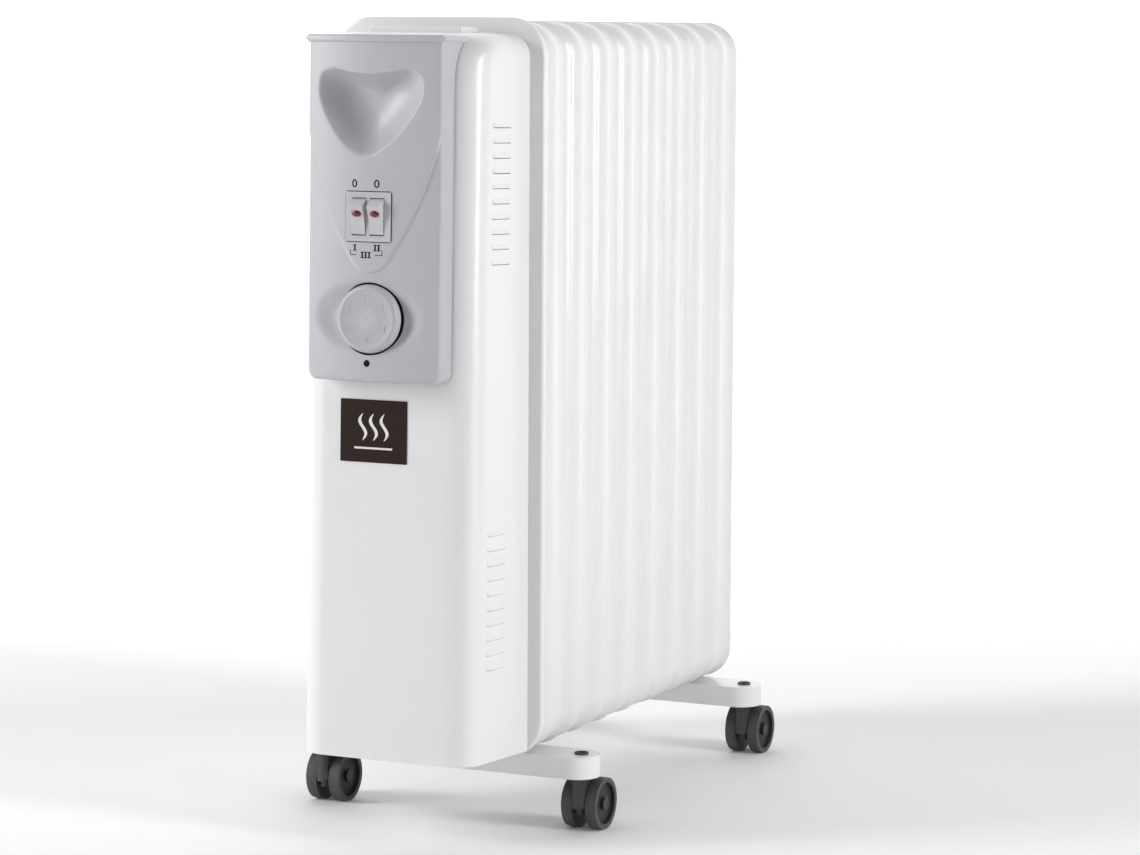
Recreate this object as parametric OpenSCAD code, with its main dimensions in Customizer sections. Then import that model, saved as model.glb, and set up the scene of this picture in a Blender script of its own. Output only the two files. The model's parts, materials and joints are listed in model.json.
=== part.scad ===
// Oil filled radiator heater: nine welded steel fins on two oil headers, a control box on the
// first fin, and two foot bars with swivel castors. Millimetres, +Z up, origin on the floor
// under the middle of the overall box. The control face looks along -Y.

/* [Radiator] */
// Number of fins
fin_count = 9; // [3:1:13]
// Distance from one fin's middle to the next
fin_pitch = 46.5; // [40:0.5:60]
// Width of a fin over its rounded edge
fin_w = 178; // [170:1:200]
// Height of a fin over its rounded edge
fin_h = 557.5; // [500:0.5:650]
// Height of the fins' lowest edge above the floor
fin_base = 60; // [56:0.5:70]
// Radius of a fin's four corners
fin_corner_r = 27; // [24:1:40]
// Depth of a fin's rounded edge, front to back
edge_depth = 39.5; // [32:0.5:40]
// How far the first fin's flat plate rises above the other fins
rim_step = 2.5; // [1:0.5:3]

/* [Control box] */
// Depth of the box in front of the first fin
box_depth = 85; // [80:1:95]
// Half width of the box where it meets the first fin
box_half_back = 77.5; // [76:0.5:79]
// Half width of the box where its front corners start
box_half_front = 73.5; // [71:0.5:75.5]
// Radius of the box's front corners
box_corner_r = 24; // [16:1:28]
// Backward lean of the control face
lean = 1.3; // [0:0.1:3]

/* [Controls] */
// Half width of the grey control housing
housing_half = 56; // [52:1:58]
// Depth of the housing in front of the box
housing_depth = 26; // [25:0.2:28]
// Radius of the thermostat knob at its base
knob_r = 25.5; // [22:0.5:27]
// Height of the knob over its seat
knob_h = 7.2; // [6:0.2:9]
// Tilt of each rocker to either side of its middle
rocker_tilt = 16; // [10:1:16]

/* [Feet] */
// Half length of a foot bar
bar_half = 126; // [118:1:140]
// Radius of a castor wheel
wheel_r = 20; // [18:1:20]
// Distance from a castor's stem to its axle
castor_trail = 14; // [10:1:16]

/* [Hidden] */
$fn = 64;
eps = 0.02;            // overlap of two shapes that are fused
sheet_t = 1;           // steel sheet of fins, box and shield
header_z = [98, 570];  // heights of the bottom and top oil headers
header_r = 15;         // bore of a header
boss_r = 24;
boss_half = 11;
collar_r = 20;
channel_x = 15;        // upright oil channels of a fin
channel_r = 8;
channel_bore_r = 6.8;
edge_drop = 11;        // how far the rounded edge falls to its front lip
crown_drop = 1;        // the edge's crown lies just inside the outer hem
valley_drop = 3.5;     // groove between the crown and the hem
crown_at = -0.6 * edge_depth;
valley_at = -0.2 * edge_depth;
first_hem = 4.5;       // return edge of the first fin's plate
rear_fold = 9;         // inward fold that closes the back of the last fin
web_mid = sheet_t / 2;
crown_top = fin_base + fin_h;
stud_r = 2;
stud_x = 64;
stud_z = [140, 525];
stud_len = 15;

lean_y = -100;         // the control face leans back about a level line through this point,
lean_z = 400;          // just behind the face and level with the knob
box_z0 = 66;
box_z1 = 609.6;
box_top_r = 17;
brow_r = 36;            // round of the box's upper front edge
housing_z0 = 352;
housing_z1 = 606.5;
housing_wall = 2.2;
housing_corner_r = 8;
face_r = 230;          // crossways curve of the control face
face_y = -box_depth - housing_depth;
plate_t = 1.2;         // raised V-shaped plate on the face
lip_t = 5.5;
lip_step = 2;

knob_z = 398.8;
dish_r = 29;
dish_depth = 3.5;
dish_floor = face_y + dish_depth;
pad_back = dish_floor + housing_wall;
shaft_r = 3;
running = 0.05;        // radial clearance of a turning fit

switch_x = -0.8;
switch_z = 473.7;
bezel_w = 37.2;
bezel_h = 36.3;
bezel_t = 1.8;
bezel_y = face_y - plate_t - 0.3;
bezel_gap = 0.5;        // all round the bezel, in its seat
switch_body = 33;
rocker_w = 11;
rocker_gap = 14.9;     // between the middles of the two rockers
rocker_r = 14.2;       // the rocker's round ends about its pin
rocker_face = 9.8;     // from the pin to the two ends of the rocker's hollow face
rocker_sag = 1.2;      // how far the face is hollowed
rocker_depth = 6;      // from the bezel's face back to the pin
rocker_back = 8;
pin_y = bezel_y + rocker_depth;
pin_r = 1.25;
lens_r = 2.6;           // the lens is a stadium: two round ends, lens_half apart from its middle
lens_half = 1.7;
lens_at = 4.9;         // from the rocker's middle up to its lens

screw_x = 47;
screw_z = [366, 560];
louvre_rows = 10;
louvre_pitch = 11.23;
louvre_z = [540, 236.9];
louvre_y = [-58, -31];

badge_x = -8.7;
badge_z = [290.3, 337.3];

grommet_y = -42;
grommet_bore_r = 4;

bar_y = [web_mid + fin_pitch / 2, web_mid + (fin_count - 1.5) * fin_pitch];
bar_half_d = 18;
bar_t = 2;
bar_drop = 17;
castor_x = 112;
fork_half = 5;
collar_z = 2 * wheel_r + 0.8;   // underside of a castor's collar, just over its wheels
tyre_w = 9;
axle_r = 2.5;
stem_r = 4;
bush_r = 8;
ubolt_r = 2.5;
ubolt_x = 24;

cap_t = 2;
cap_front_y = web_mid - boss_half;
cap_rear_y = web_mid + (fin_count - 1) * fin_pitch + boss_half;
knob_front = dish_floor - 0.3 - knob_h;
rear_y = cap_rear_y + cap_t + 4;
// The rockers' ridges stand farthest forward.
ridge_angle = acos(rocker_face / rocker_r) - rocker_tilt;
ridge_y = pin_y - rocker_r * cos(ridge_angle);
ridge_z = switch_z + rocker_r * sin(ridge_angle);
front_y = lean_y + (ridge_y - lean_y) * cos(lean) + (ridge_z - lean_z) * sin(lean);
mid_y = (front_y + rear_y) / 2;

// ---- frames ----

// The whole heater, from the first fin's front face to the middle of the overall box.
module place() translate([0, -mid_y, 0]) children();

// Everything on the control box leans back by a small angle.
module leaning() translate([0, lean_y, lean_z]) rotate([-lean, 0, 0]) translate([0, -lean_y, -lean_z])
    children();

module along_y(y0, y1, r, r2 = 0)
    translate([0, y0, 0]) rotate([-90, 0, 0]) cylinder(h = y1 - y0, r1 = r, r2 = r2 > 0 ? r2 : r);

module block(x0, x1, y0, y1, z0, z1)
    translate([x0, y0, z0]) cube([x1 - x0, y1 - y0, z1 - z0]);

// Rounded rectangle in X and Z, drawn as an outline to extrude along Y.
module rounded_outline(half_w, z0, z1, r) {
    translate([-half_w, z0 + r]) square([2 * half_w, z1 - z0 - 2 * r]);
    translate([-half_w + r, z0]) square([2 * half_w - 2 * r, z1 - z0]);
    for (x = [-half_w + r, half_w - r], z = [z0 + r, z1 - r]) translate([x, z]) circle(r);
}

// An outline in X and Z, extruded from y0 to y1.
module slab(y0, y1) translate([0, y1, 0]) rotate([90, 0, 0]) linear_extrude(y1 - y0) children();

// ---- radiator ----

// Line across a fin's rounded edge, from its front lip to its outer hem: [outward, back].
function edge_line() = concat(
    [for (a = [90 : -15 : 15]) [-crown_drop - (edge_drop - crown_drop) * (1 - cos(a)),
        crown_at - (edge_depth + crown_at) * sin(a)]],
    [for (u = [0 : 0.2 : 0.99]) [-crown_drop - (valley_drop - crown_drop) * (1 - cos(180 * u)) / 2,
        crown_at + (valley_at - crown_at) * u]],
    [for (a = [0 : 22.5 : 90]) [-valley_drop * cos(a), valley_at * (1 - a / 90)]]);

// The same line moved inward by the thickness of the sheet.
function inset_line(p, t) = [for (i = [0 : len(p) - 1]) let(
    d = p[min(i + 1, len(p) - 1)] - p[max(i - 1, 0)], n = [d[1], -d[0]] / norm(d)) p[i] - t * n];

function reversed(p) = [for (i = [len(p) - 1 : -1 : 0]) p[i]];

module edge_section()
    polygon(concat(edge_line(), reversed(inset_line(edge_line(), sheet_t))));

module fold_section()
    polygon([[0, 0], [-rear_fold, rear_fold], [-rear_fold - sheet_t * 1.4, rear_fold], [-sheet_t * 1.4, 0]]);

// A section carried round the fin's outline: four straight runs and four corners.
module round_outline() {
    half_run_x = fin_w / 2 - fin_corner_r;
    half_run_z = fin_h / 2 - fin_corner_r;
    for (s = [0, 1]) {
        rotate([0, 180 * s, 0]) translate([fin_w / 2, 0, -half_run_z])
            linear_extrude(2 * half_run_z) children();
        rotate([0, 90 + 180 * s, 0]) translate([fin_h / 2, 0, -half_run_x])
            linear_extrude(2 * half_run_x) children();
    }
    for (q = [0 : 3]) {
        sx = (q == 0 || q == 3) ? 1 : -1;
        sz = (q < 2) ? 1 : -1;
        translate([sx * half_run_x, 0, sz * half_run_z])
            rotate([90, 0, 0]) rotate([0, 0, 90 * q]) rotate_extrude(angle = 90, $fn = 96)
                translate([fin_corner_r, 0]) mirror([0, 1]) children();
    }
}

// Flat plate of the first fin, with its edge returned to the back.
module first_plate()
    difference() {
        slab(0, first_hem) rounded_outline(fin_w / 2, fin_base - rim_step,
            crown_top + rim_step, fin_corner_r + rim_step);
        slab(sheet_t, first_hem + 1) rounded_outline(fin_w / 2 - sheet_t, fin_base - rim_step + sheet_t,
            crown_top + rim_step - sheet_t, fin_corner_r + rim_step - sheet_t);
    }

module fin(index) {
    y = web_mid + (index - 1) * fin_pitch;
    first = index == 1;
    color("white") difference() {
        union() {
            if (first) {
                first_plate();
                for (x = [-stud_x, stud_x], z = stud_z)
                    translate([x, 0, z]) along_y(-stud_len, eps, stud_r);
            } else {
                translate([0, y, fin_base + fin_h / 2]) round_outline() edge_section();
                slab(y - web_mid, y + web_mid) rounded_outline(fin_w / 2 - sheet_t, fin_base + sheet_t,
                    crown_top - sheet_t, fin_corner_r - sheet_t);
            }
            if (index == fin_count)
                translate([0, y, fin_base + fin_h / 2]) round_outline() fold_section();
            for (z = header_z) translate([0, 0, z]) along_y(y - boss_half, y + boss_half, boss_r);
            for (x = [-channel_x, channel_x])
                translate([x, y, header_z[0]]) cylinder(h = header_z[1] - header_z[0], r = channel_r);
        }
        for (z = header_z) translate([0, 0, z]) along_y(y - boss_half - 1, y + boss_half + 1, header_r);
        for (x = [-channel_x, channel_x])
            translate([x, y, header_z[0]]) cylinder(h = header_z[1] - header_z[0], r = channel_bore_r);
        // ways through the lower edge for the foot bolts
        for (by = bar_y, s = [-1, 1])
            if (abs(by - y + fin_pitch / 2) < 1)
                translate([s * ubolt_x, by, fin_base - 5]) cylinder(h = 25, r = ubolt_r + 0.8);
    }
}

module header_collars(z)
    color("white") for (i = [1 : fin_count - 1]) {
        y0 = web_mid + (i - 1) * fin_pitch + boss_half;
        translate([0, 0, z]) difference() {
            along_y(y0, y0 + fin_pitch - 2 * boss_half, collar_r);
            along_y(y0 - 1, y0 + fin_pitch, header_r);
        }
    }

module header_caps() color("white") {
    translate([0, 0, header_z[1]]) along_y(cap_front_y - cap_t, cap_front_y, collar_r);
    translate([0, 0, header_z[0]]) along_y(cap_rear_y, cap_rear_y + cap_t, collar_r);
    translate([0, 0, header_z[1]]) difference() {
        along_y(cap_rear_y, cap_rear_y + cap_t, collar_r);
        along_y(cap_rear_y - 1, cap_rear_y + cap_t + 1, 5);
    }
}

module oil_filler_plug() color("silver") translate([0, 0, header_z[1]]) {
    along_y(cap_rear_y - 6, cap_rear_y + cap_t, 5);
    translate([0, cap_rear_y + cap_t + 4, 0]) rotate([90, 0, 0]) cylinder(h = 4, r = 8, $fn = 6);
}

// ---- heating element: two hairpins in the bottom header ----

element_y = web_mid - boss_half - 1.5;
hairpin_len = (fin_count - 1.4) * fin_pitch;
hairpin_x = 7;
hairpin_z = 5;
rod_r = 3;

module heating_element() color("gray") translate([0, element_y, header_z[0]]) {
    along_y(-8, 0, 21);
    for (s = [-1, 1]) translate([0, 0, s * hairpin_z]) {
        for (x = [-hairpin_x, hairpin_x]) translate([x, 0, 0]) {
            along_y(-eps, hairpin_len, rod_r);
            along_y(-19, -8 + eps, 1.5);
        }
        translate([0, hairpin_len, 0]) rotate_extrude(angle = 180) translate([hairpin_x, 0]) circle(rod_r);
    }
}

module element_gasket() color("darkred") translate([0, 0, header_z[0]]) difference() {
    along_y(element_y, element_y + 1.5, 21);
    along_y(element_y - 1, element_y + 3, 15.5);
}

// ---- control box ----

// Plan of the box: straight back, slightly flared sides, round front corners.
function box_plan(inset) = let(
        r = box_corner_r - inset, cx = box_half_front - box_corner_r, cy = -box_depth + box_corner_r,
        arc = [for (a = [0 : 7.5 : 90]) [cx + r * sin(a), cy - r * cos(a)]],
        back = [[box_half_back - inset, 10]])
    concat(arc, back, [for (p = back) [-p[0], p[1]]], [for (i = [len(arc) - 1 : -1 : 0]) [-arc[i][0], arc[i][1]]]);

// Side view of the box, in Y and Z: the upper front edge is rounded.
module brow_outline(inset) {
    y0 = -box_depth + inset;
    z1 = box_z1 - inset;
    r = brow_r - inset;
    translate([y0, 0]) square([20 - y0, z1 - r]);
    translate([y0 + r, 0]) square([20 - y0 - r, z1]);
    translate([y0 + r, z1 - r]) circle(r, $fn = 96);
}

// An outline in Y and Z, extruded over the full width.
module across(half) translate([-half, 0, 0]) rotate([90, 0, 90]) linear_extrude(2 * half) children();

module box_body(inset, z0)
    intersection() {
        translate([0, 0, z0]) linear_extrude(box_z1 - inset - z0) polygon(box_plan(inset));
        slab(-box_depth - 5, 15) {
            r = box_top_r - inset;
            half = box_half_back - inset;
            translate([-half, z0]) square([2 * half, box_z1 - inset - r - z0]);
            translate([-half + r, z0]) square([2 * half - 2 * r, box_z1 - inset - z0]);
            for (x = [-half + r, half - r]) translate([x, box_z1 - inset - r]) circle(r);
        }
        across(100) brow_outline(inset);
    }

tab_y = [-sheet_t - 0.1, -0.1];
cover_half = 39;
cover_y = [-44, -16];
cover_t = 4.6;
shield_y = [-10, -9];    // clear of the first fin's oil channels

module control_box_shell() color("whitesmoke") {
    difference() {
        leaning() difference() {
            box_body(0, box_z0);
            difference() {
                box_body(sheet_t, box_z0 - 1);
                block(-100, 100, -200, 50, 0, box_z0 - 2);
            }
            // window behind the switch and the thermostat
            block(-30, 30, -box_depth - 2, -box_depth + 3, 380, 500);
            for (x = [-screw_x, screw_x], z = screw_z)
                translate([x, 0, z]) along_y(-box_depth - 2, -box_depth + 3, 1.7);
            for (z0 = louvre_z, i = [0 : louvre_rows - 1])
                block(-100, 100, louvre_y[0], louvre_y[1], z0 - i * louvre_pitch - 1, z0 - i * louvre_pitch + 1);
        }
        block(-100, 100, tab_y[1], 60, 0, 700);
    }
    for (s = [-1, 1], z = stud_z) difference() {
        block(s > 0 ? 58 : -box_half_back + 1, s > 0 ? box_half_back - 1 : -58, tab_y[0], tab_y[1], z - 8, z + 8);
        translate([s * stud_x, 0, z]) along_y(-5, 5, stud_r + 0.2);
    }
}

module box_bottom_plate() color("whitesmoke") difference() {
    leaning() difference() {
        translate([0, 0, box_z0]) linear_extrude(sheet_t) polygon(box_plan(sheet_t));
        translate([0, grommet_y, box_z0 - 1]) cylinder(h = 4, r = 7);
    }
    block(-100, 100, tab_y[1] - 1, 60, 0, 200);
}

module box_top_cover() color("white") leaning()
    block(-cover_half, cover_half, cover_y[0], cover_y[1], box_z1, box_z1 + cover_t);

module heat_shield() color("silver") difference() {
    block(-70, 70, shield_y[0], shield_y[1], 125, 540);
    for (x = [-stud_x, stud_x], z = stud_z) translate([x, 0, z]) along_y(-15, 5, stud_r + 0.2);
    translate([cutout_at[0], 0, cutout_at[1]]) along_y(-15, 5, 10);
}

nut_y1 = shield_y[0];

module shield_spacers() color("silver") for (x = [-stud_x, stud_x], z = stud_z)
    translate([x, 0, z]) difference() {
        along_y(shield_y[1], tab_y[0], 4);
        along_y(-12, 1, stud_r + 0.1);
    }

module box_nuts() color("silver") for (x = [-stud_x, stud_x], z = stud_z)
    translate([x, nut_y1, z]) rotate([90, 0, 0]) difference() {
        cylinder(h = 3.2, r = 4, $fn = 6);
        translate([0, 0, -1]) cylinder(h = 6, r = stud_r);
    }

// ---- control housing ----

seam_gap = 0.6;        // between the housing and the box

module housing_solid(inset, z1)
    difference() {
        intersection() {
            slab(-box_depth - 40, -box_depth + brow_r) {
                translate([-housing_half + inset, housing_z0 + housing_corner_r])
                    square([2 * (housing_half - inset), z1 - housing_z0 - housing_corner_r]);
                translate([-housing_half + housing_corner_r, housing_z0 + inset])
                    square([2 * (housing_half - housing_corner_r), 60]);
                for (s = [-1, 1]) translate([s * (housing_half - housing_corner_r), housing_z0 + housing_corner_r])
                    circle(housing_corner_r - inset);
            }
            translate([0, face_y + face_r, 300]) cylinder(h = 350, r = face_r - inset, $fn = 128);
        }
        across(100) brow_outline(-seam_gap);
    }

// Grip recess: a bowl in the middle and one in each upper corner.
scoop = [[0, 549, 34, 16], [-24, 562, 24, 13], [24, 562, 24, 13]];

module scoop_bowls(grow)
    for (s = scoop) {
        // sphere that cuts a circle of radius s[2]*0.9 in the face and reaches s[3] deep
        rim = s[2] * 0.9;
        ball = (rim * rim + s[3] * s[3]) / (2 * s[3]);
        translate([s[0], face_y - ball + s[3], s[1]]) sphere(r = ball + grow);
    }

// V-shaped plate: straight sides that meet in a round tip above the knob.
plate_tip_r = 15;
plate_tip_z = 448;
function v_plate() = concat(
    [[-housing_half, 541], [-housing_half, 598], [housing_half, 598], [housing_half, 541]],
    [for (a = [-30 : -15 : -150]) [plate_tip_r * cos(a), plate_tip_z + plate_tip_r * sin(a)]]);

module control_housing() color("lightgray") leaning() difference() {
    union() {
        difference() {
            housing_solid(0, housing_z1);
            difference() {
                translate([0, 0.01, 0]) housing_solid(housing_wall, housing_z1 - housing_wall);
                scoop_bowls(housing_wall);
                translate([0, 0, knob_z]) along_y(dish_floor - 2, pad_back, 34);
                for (x = [-screw_x, screw_x], z = screw_z) translate([x, 0, z]) along_y(-110, -60, 4.5);
            }
            // open at the back, along the box
            across(housing_half - housing_wall) brow_outline(-seam_gap - 0.5);
        }
        // raised plate
        intersection() {
            slab(-130, face_y + 6) polygon(v_plate());
            difference() {
                translate([0, face_y + face_r, 420]) cylinder(h = 200, r = face_r + plate_t, $fn = 128);
                translate([0, face_y + face_r, 400]) cylinder(h = 240, r = face_r - 0.5, $fn = 128);
            }
        }
        // lip
        intersection() {
            block(-housing_half - lip_step, housing_half + lip_step, -120, -box_depth,
                housing_z1 - lip_t, housing_z1);
            translate([0, face_y + face_r, 580]) cylinder(h = 40, r = face_r + plate_t + lip_step, $fn = 128);
        }
    }
    scoop_bowls(0);
    translate([0, 0, knob_z]) along_y(-130, dish_floor, dish_r);
    translate([0, 0, knob_z]) along_y(-130, pad_back + 1, 4.5);
    block(switch_x - switch_body / 2 - 0.1, switch_x + switch_body / 2 + 0.1, -130, -88,
        switch_z - switch_body / 2 - 0.1, switch_z + switch_body / 2 + 0.1);
    block(switch_x - bezel_w / 2 - bezel_gap, switch_x + bezel_w / 2 + bezel_gap, -130, bezel_y + bezel_t,
        switch_z - bezel_h / 2 - bezel_gap, switch_z + bezel_h / 2 + bezel_gap);
    for (x = [-screw_x, screw_x], z = screw_z) translate([x, 0, z]) along_y(-98, -box_depth + 30, 1.5);
}

module housing_screws() color("silver") leaning() for (x = [-screw_x, screw_x], z = screw_z)
    translate([x, 0, z]) {
        along_y(-97, -box_depth + sheet_t + 1, 1.5);
        along_y(-box_depth + sheet_t + eps, -box_depth + sheet_t + 2, 3.2);
    }

module name_badge() color("saddlebrown") leaning()
    translate([badge_x, 0, 0]) slab(-box_depth - 0.8, -box_depth) rounded_outline(28, badge_z[0], badge_z[1], 1);

// ---- double switch ----

module switch_body() color("lightgray") leaning() translate([switch_x, 0, switch_z]) difference() {
    union() {
        block(-bezel_w / 2, bezel_w / 2, bezel_y, bezel_y + bezel_t, -bezel_h / 2, bezel_h / 2);
        block(-switch_body / 2, switch_body / 2, bezel_y + eps, bezel_y + 21, -switch_body / 2, switch_body / 2);
        for (x = [-rocker_gap / 2, rocker_gap / 2], z = [-9, 0, 9])
            block(x - 2.4, x + 2.4, bezel_y + 20, bezel_y + 28, z - 0.4, z + 0.4);
    }
    for (x = [-rocker_gap / 2, rocker_gap / 2]) {
        block(x - rocker_w / 2 - 0.35, x + rocker_w / 2 + 0.35, bezel_y - 1, bezel_y + 19.5, -13.9, 13.9);
        block(x - rocker_w / 2 - 0.35, x + rocker_w / 2 + 0.35, bezel_y + 1.4, bezel_y + 19.5, -14.7, 14.7);
    }
    translate([-20, pin_y, 0]) rotate([0, 90, 0]) cylinder(h = 40, r = pin_r);
}

module rocker_pin() color("silver") leaning() translate([switch_x - switch_body / 2, pin_y, switch_z])
    rotate([0, 90, 0]) cylinder(h = switch_body, r = pin_r);

// Everything on a rocker, about its pin, tilted so that its lower end is pressed in.
module on_rocker(side) leaning() translate([switch_x + side * rocker_gap / 2, pin_y, switch_z])
    rotate([rocker_tilt, 0, 0]) children();

// The hollow of the face is part of a large cylinder.
hollow_r = (rocker_r * rocker_r - rocker_face * rocker_face + rocker_sag * rocker_sag) / (2 * rocker_sag);
hollow_y = -rocker_face - hollow_r + rocker_sag;
lens_face = hollow_y + hollow_r;

module rocker(side) color("lightgray") on_rocker(side) difference() {
    intersection() {
        translate([-rocker_w / 2, 0, 0]) rotate([0, 90, 0]) cylinder(h = rocker_w, r = rocker_r);
        block(-rocker_w / 2 - 1, rocker_w / 2 + 1, -rocker_face, rocker_back, -20, 20);
    }
    translate([-20, hollow_y, 0]) rotate([0, 90, 0]) cylinder(h = 40, r = hollow_r);
    translate([-20, 0, 0]) rotate([0, 90, 0]) cylinder(h = 40, r = pin_r + running);
    lens_shape(-rocker_face - 1, lens_face + 1.6);
}

module lens_shape(y0, y1) translate([0, 0, lens_at]) {
    for (s = [-1, 1]) translate([s * lens_half, 0, 0]) along_y(y0, y1, lens_r);
    block(-lens_half, lens_half, y0, y1, -lens_r, lens_r);
}

module lens(side) color("darkred") on_rocker(side) lens_shape(lens_face - 0.6, lens_face + 1.6);

// ---- thermostat ----

module thermostat_body() color("dimgray") leaning() translate([0, 0, knob_z]) difference() {
    union() {
        block(-17, 17, pad_back, pad_back + 16, -13, 13);
        for (x = [-10, 10]) block(x - 3, x + 3, pad_back + 16 - eps, pad_back + 26, -0.4, 0.4);
    }
    along_y(pad_back - 1, pad_back + 13, shaft_r + running);
}

module thermostat_shaft() color("silver") leaning() translate([0, 0, knob_z])
    along_y(knob_front + 3, pad_back + 12, shaft_r);

module thermostat_knob() color("lightgray") leaning() translate([0, 0, knob_z]) difference() {
    along_y(knob_front, knob_front + knob_h, knob_r - 2, knob_r);
    difference() {
        along_y(knob_front + 2.5, knob_front + knob_h + 1, knob_r - 4);
        along_y(knob_front + 2, knob_front + knob_h + 2, 6.5);
    }
    along_y(knob_front + 3, knob_front + knob_h + 1, shaft_r);
}

// ---- inside the box ----

cutout_at = [-46, 300];
block_at = [0, 162];

cutout_front = shield_y[0] - 3;

module thermal_cutout() color("black") translate([cutout_at[0], 0, cutout_at[1]]) {
    along_y(cutout_front, 0, 8);
    for (x = [-4, 4]) block(x - 0.4, x + 0.4, cutout_front - 8, cutout_front + eps, -3, 3);
}

module cutout_clip() color("silver") translate([cutout_at[0], 0, cutout_at[1]]) {
    difference() {
        block(-16, 16, cutout_front - 1, cutout_front, -5, 5);
        block(-6, 6, cutout_front - 2, cutout_front + 1, -4, 4);
    }
    for (x = [-16, 14.8]) block(x, x + 1.2, cutout_front - eps, nut_y1, -5, 5);
}

module terminal_block() color("beige") translate([block_at[0], 0, block_at[1]]) difference() {
    block(-22, 22, nut_y1 - 16, nut_y1, -10, 10);
    for (x = [-16.5, -5.5, 5.5, 16.5]) {
        translate([x, nut_y1 - 8, -11]) cylinder(h = 22, r = 2.2);
        translate([x, 0, -5]) along_y(nut_y1 - 17, nut_y1 - 8, 2.4);
        translate([x, 0, 5]) along_y(nut_y1 - 17, nut_y1 - 8, 2.4);
    }
}

wire_r = 1.2;

// A wire is straight runs between the points of its route, each run a little longer than its span.
module rod(a, b) {
    d = b - a;
    translate(a) rotate([0, acos(d[2] / norm(d)), atan2(d[1], d[0])])
        translate([0, 0, -wire_r / 3]) cylinder(h = norm(d) + wire_r * 2 / 3, r = wire_r, $fn = 8);
}

module wire(route)
    for (i = [0 : len(route) - 2]) rod(route[i], route[i + 1]);

// Where a point given on the upright control face lies once the face leans back.
function leant(p) = [p[0], lean_y + (p[1] - lean_y) * cos(lean) + (p[2] - lean_z) * sin(lean),
    lean_z - (p[1] - lean_y) * sin(lean) + (p[2] - lean_z) * cos(lean)];

lead_y = nut_y1 - 8;
switch_tip_y = bezel_y + 29.6;
thermostat_tip_y = pad_back + 27.6;
element_tip = [hairpin_x, element_y - 20.6, header_z[0] + hairpin_z];
cutout_tip_y = cutout_front - 9.6;
rocker_x = rocker_gap / 2;

// Routes of the inner leads between the terminal block, switch, thermostat, cutout and element.
wire_routes = [
    [[-16.5, lead_y, 166], [-16.5, lead_y, 190], [-14, -40, 240], [-14, -60, 420],
        leant([switch_x - rocker_x, switch_tip_y, switch_z - 9])],
    [[16.5, lead_y, 158], [16.5, lead_y, 138], [14, -44, 116], element_tip],
    [[5.5, lead_y, 166], [5.5, lead_y, 186], [26, -44, 235], [26, -55, 340],
        leant([10, thermostat_tip_y, knob_z])],
    [leant([-10, thermostat_tip_y, knob_z]), [-36, -58, 380], [-42, -40, 325],
        [cutout_at[0] + 4, cutout_tip_y, cutout_at[1]]],
    [[cutout_at[0] - 4, cutout_tip_y, cutout_at[1]], [-54, -40, 285], [-50, -44, 150], [-22, -50, 104],
        [-element_tip[0], element_tip[1], header_z[0] - hairpin_z]],
    [leant([switch_x + rocker_x, switch_tip_y, switch_z]), [36, -62, 440], [50, -50, 300], [46, -44, 140],
        [24, -46, 96], [element_tip[0], element_tip[1], header_z[0] - hairpin_z]],
];

module wiring() color("saddlebrown") for (route = wire_routes) wire(route);

module cable_grommet() color("black") leaning() translate([0, grommet_y, 0]) difference() {
    union() {
        translate([0, 0, box_z0 - 3]) cylinder(h = 3, r = 9);
        translate([0, 0, box_z0 - eps]) cylinder(h = sheet_t + 2 * eps, r = 7);
        translate([0, 0, box_z0 + sheet_t]) cylinder(h = 3, r = 9);
    }
    translate([0, 0, box_z0 - 10]) cylinder(h = 30, r = grommet_bore_r);
}

// ---- feet ----

bar_z1 = fin_base;
bar_z0 = fin_base - bar_drop;

// Bar outline seen from above, with round ends.
module bar_outline(inset) {
    square([2 * (bar_half - bar_half_d), 2 * (bar_half_d - inset)], center = true);
    for (s = [-1, 1]) translate([s * (bar_half - bar_half_d), 0]) circle(bar_half_d - inset);
}

module foot_bar(y) color("whitesmoke") translate([0, y, 0]) difference() {
    translate([0, 0, bar_z0]) linear_extrude(bar_drop) bar_outline(0);
    translate([0, 0, bar_z0 - 1]) linear_extrude(bar_drop + 1 - bar_t) bar_outline(bar_t);
    for (s = [-1, 1]) {
        translate([s * ubolt_x, 0, bar_z0]) cylinder(h = 30, r = ubolt_r + 0.3);
        translate([s * castor_x, 0, bar_z0]) cylinder(h = 30, r = 5.5);
    }
}

ubolt_foot_z = 44;

module foot_u_bolts() color("silver") for (y = bar_y) translate([0, y, header_z[0]]) {
    rotate([90, 0, 0]) rotate_extrude(angle = 180) translate([ubolt_x, 0]) circle(ubolt_r);
    for (s = [-1, 1]) translate([s * ubolt_x, 0, ubolt_foot_z - header_z[0]])
        cylinder(h = header_z[0] - ubolt_foot_z, r = ubolt_r);
}

module foot_wing_nuts() color("silver") for (y = bar_y, s = [-1, 1])
    translate([s * ubolt_x, y, bar_z1 - bar_t - 7]) difference() {
        union() {
            cylinder(h = 7, r1 = 5, r2 = 6.5);
            for (w = [-1, 1]) translate([w * 9, 0, 1.5]) rotate([90, 0, 0]) translate([0, 0, -1])
                cylinder(h = 2, r = 4.5);
        }
        translate([0, 0, -10]) cylinder(h = 30, r = ubolt_r);
    }

module castor_bushes() color("dimgray") for (y = bar_y, s = [-1, 1])
    translate([s * castor_x, y, 0]) difference() {
        union() {
            translate([0, 0, bar_z0]) cylinder(h = bar_drop - bar_t, r = bush_r);
            translate([0, 0, bar_z1 - bar_t - eps]) cylinder(h = bar_t + 1.5, r = 5.4);
        }
        translate([0, 0, bar_z0 - 1]) cylinder(h = 40, r = stem_r + running);
    }

// A castor stands under its stem, with its wheels trailing to the back.
module at_castor(y, side) translate([side * castor_x, y, 0]) children();

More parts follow.
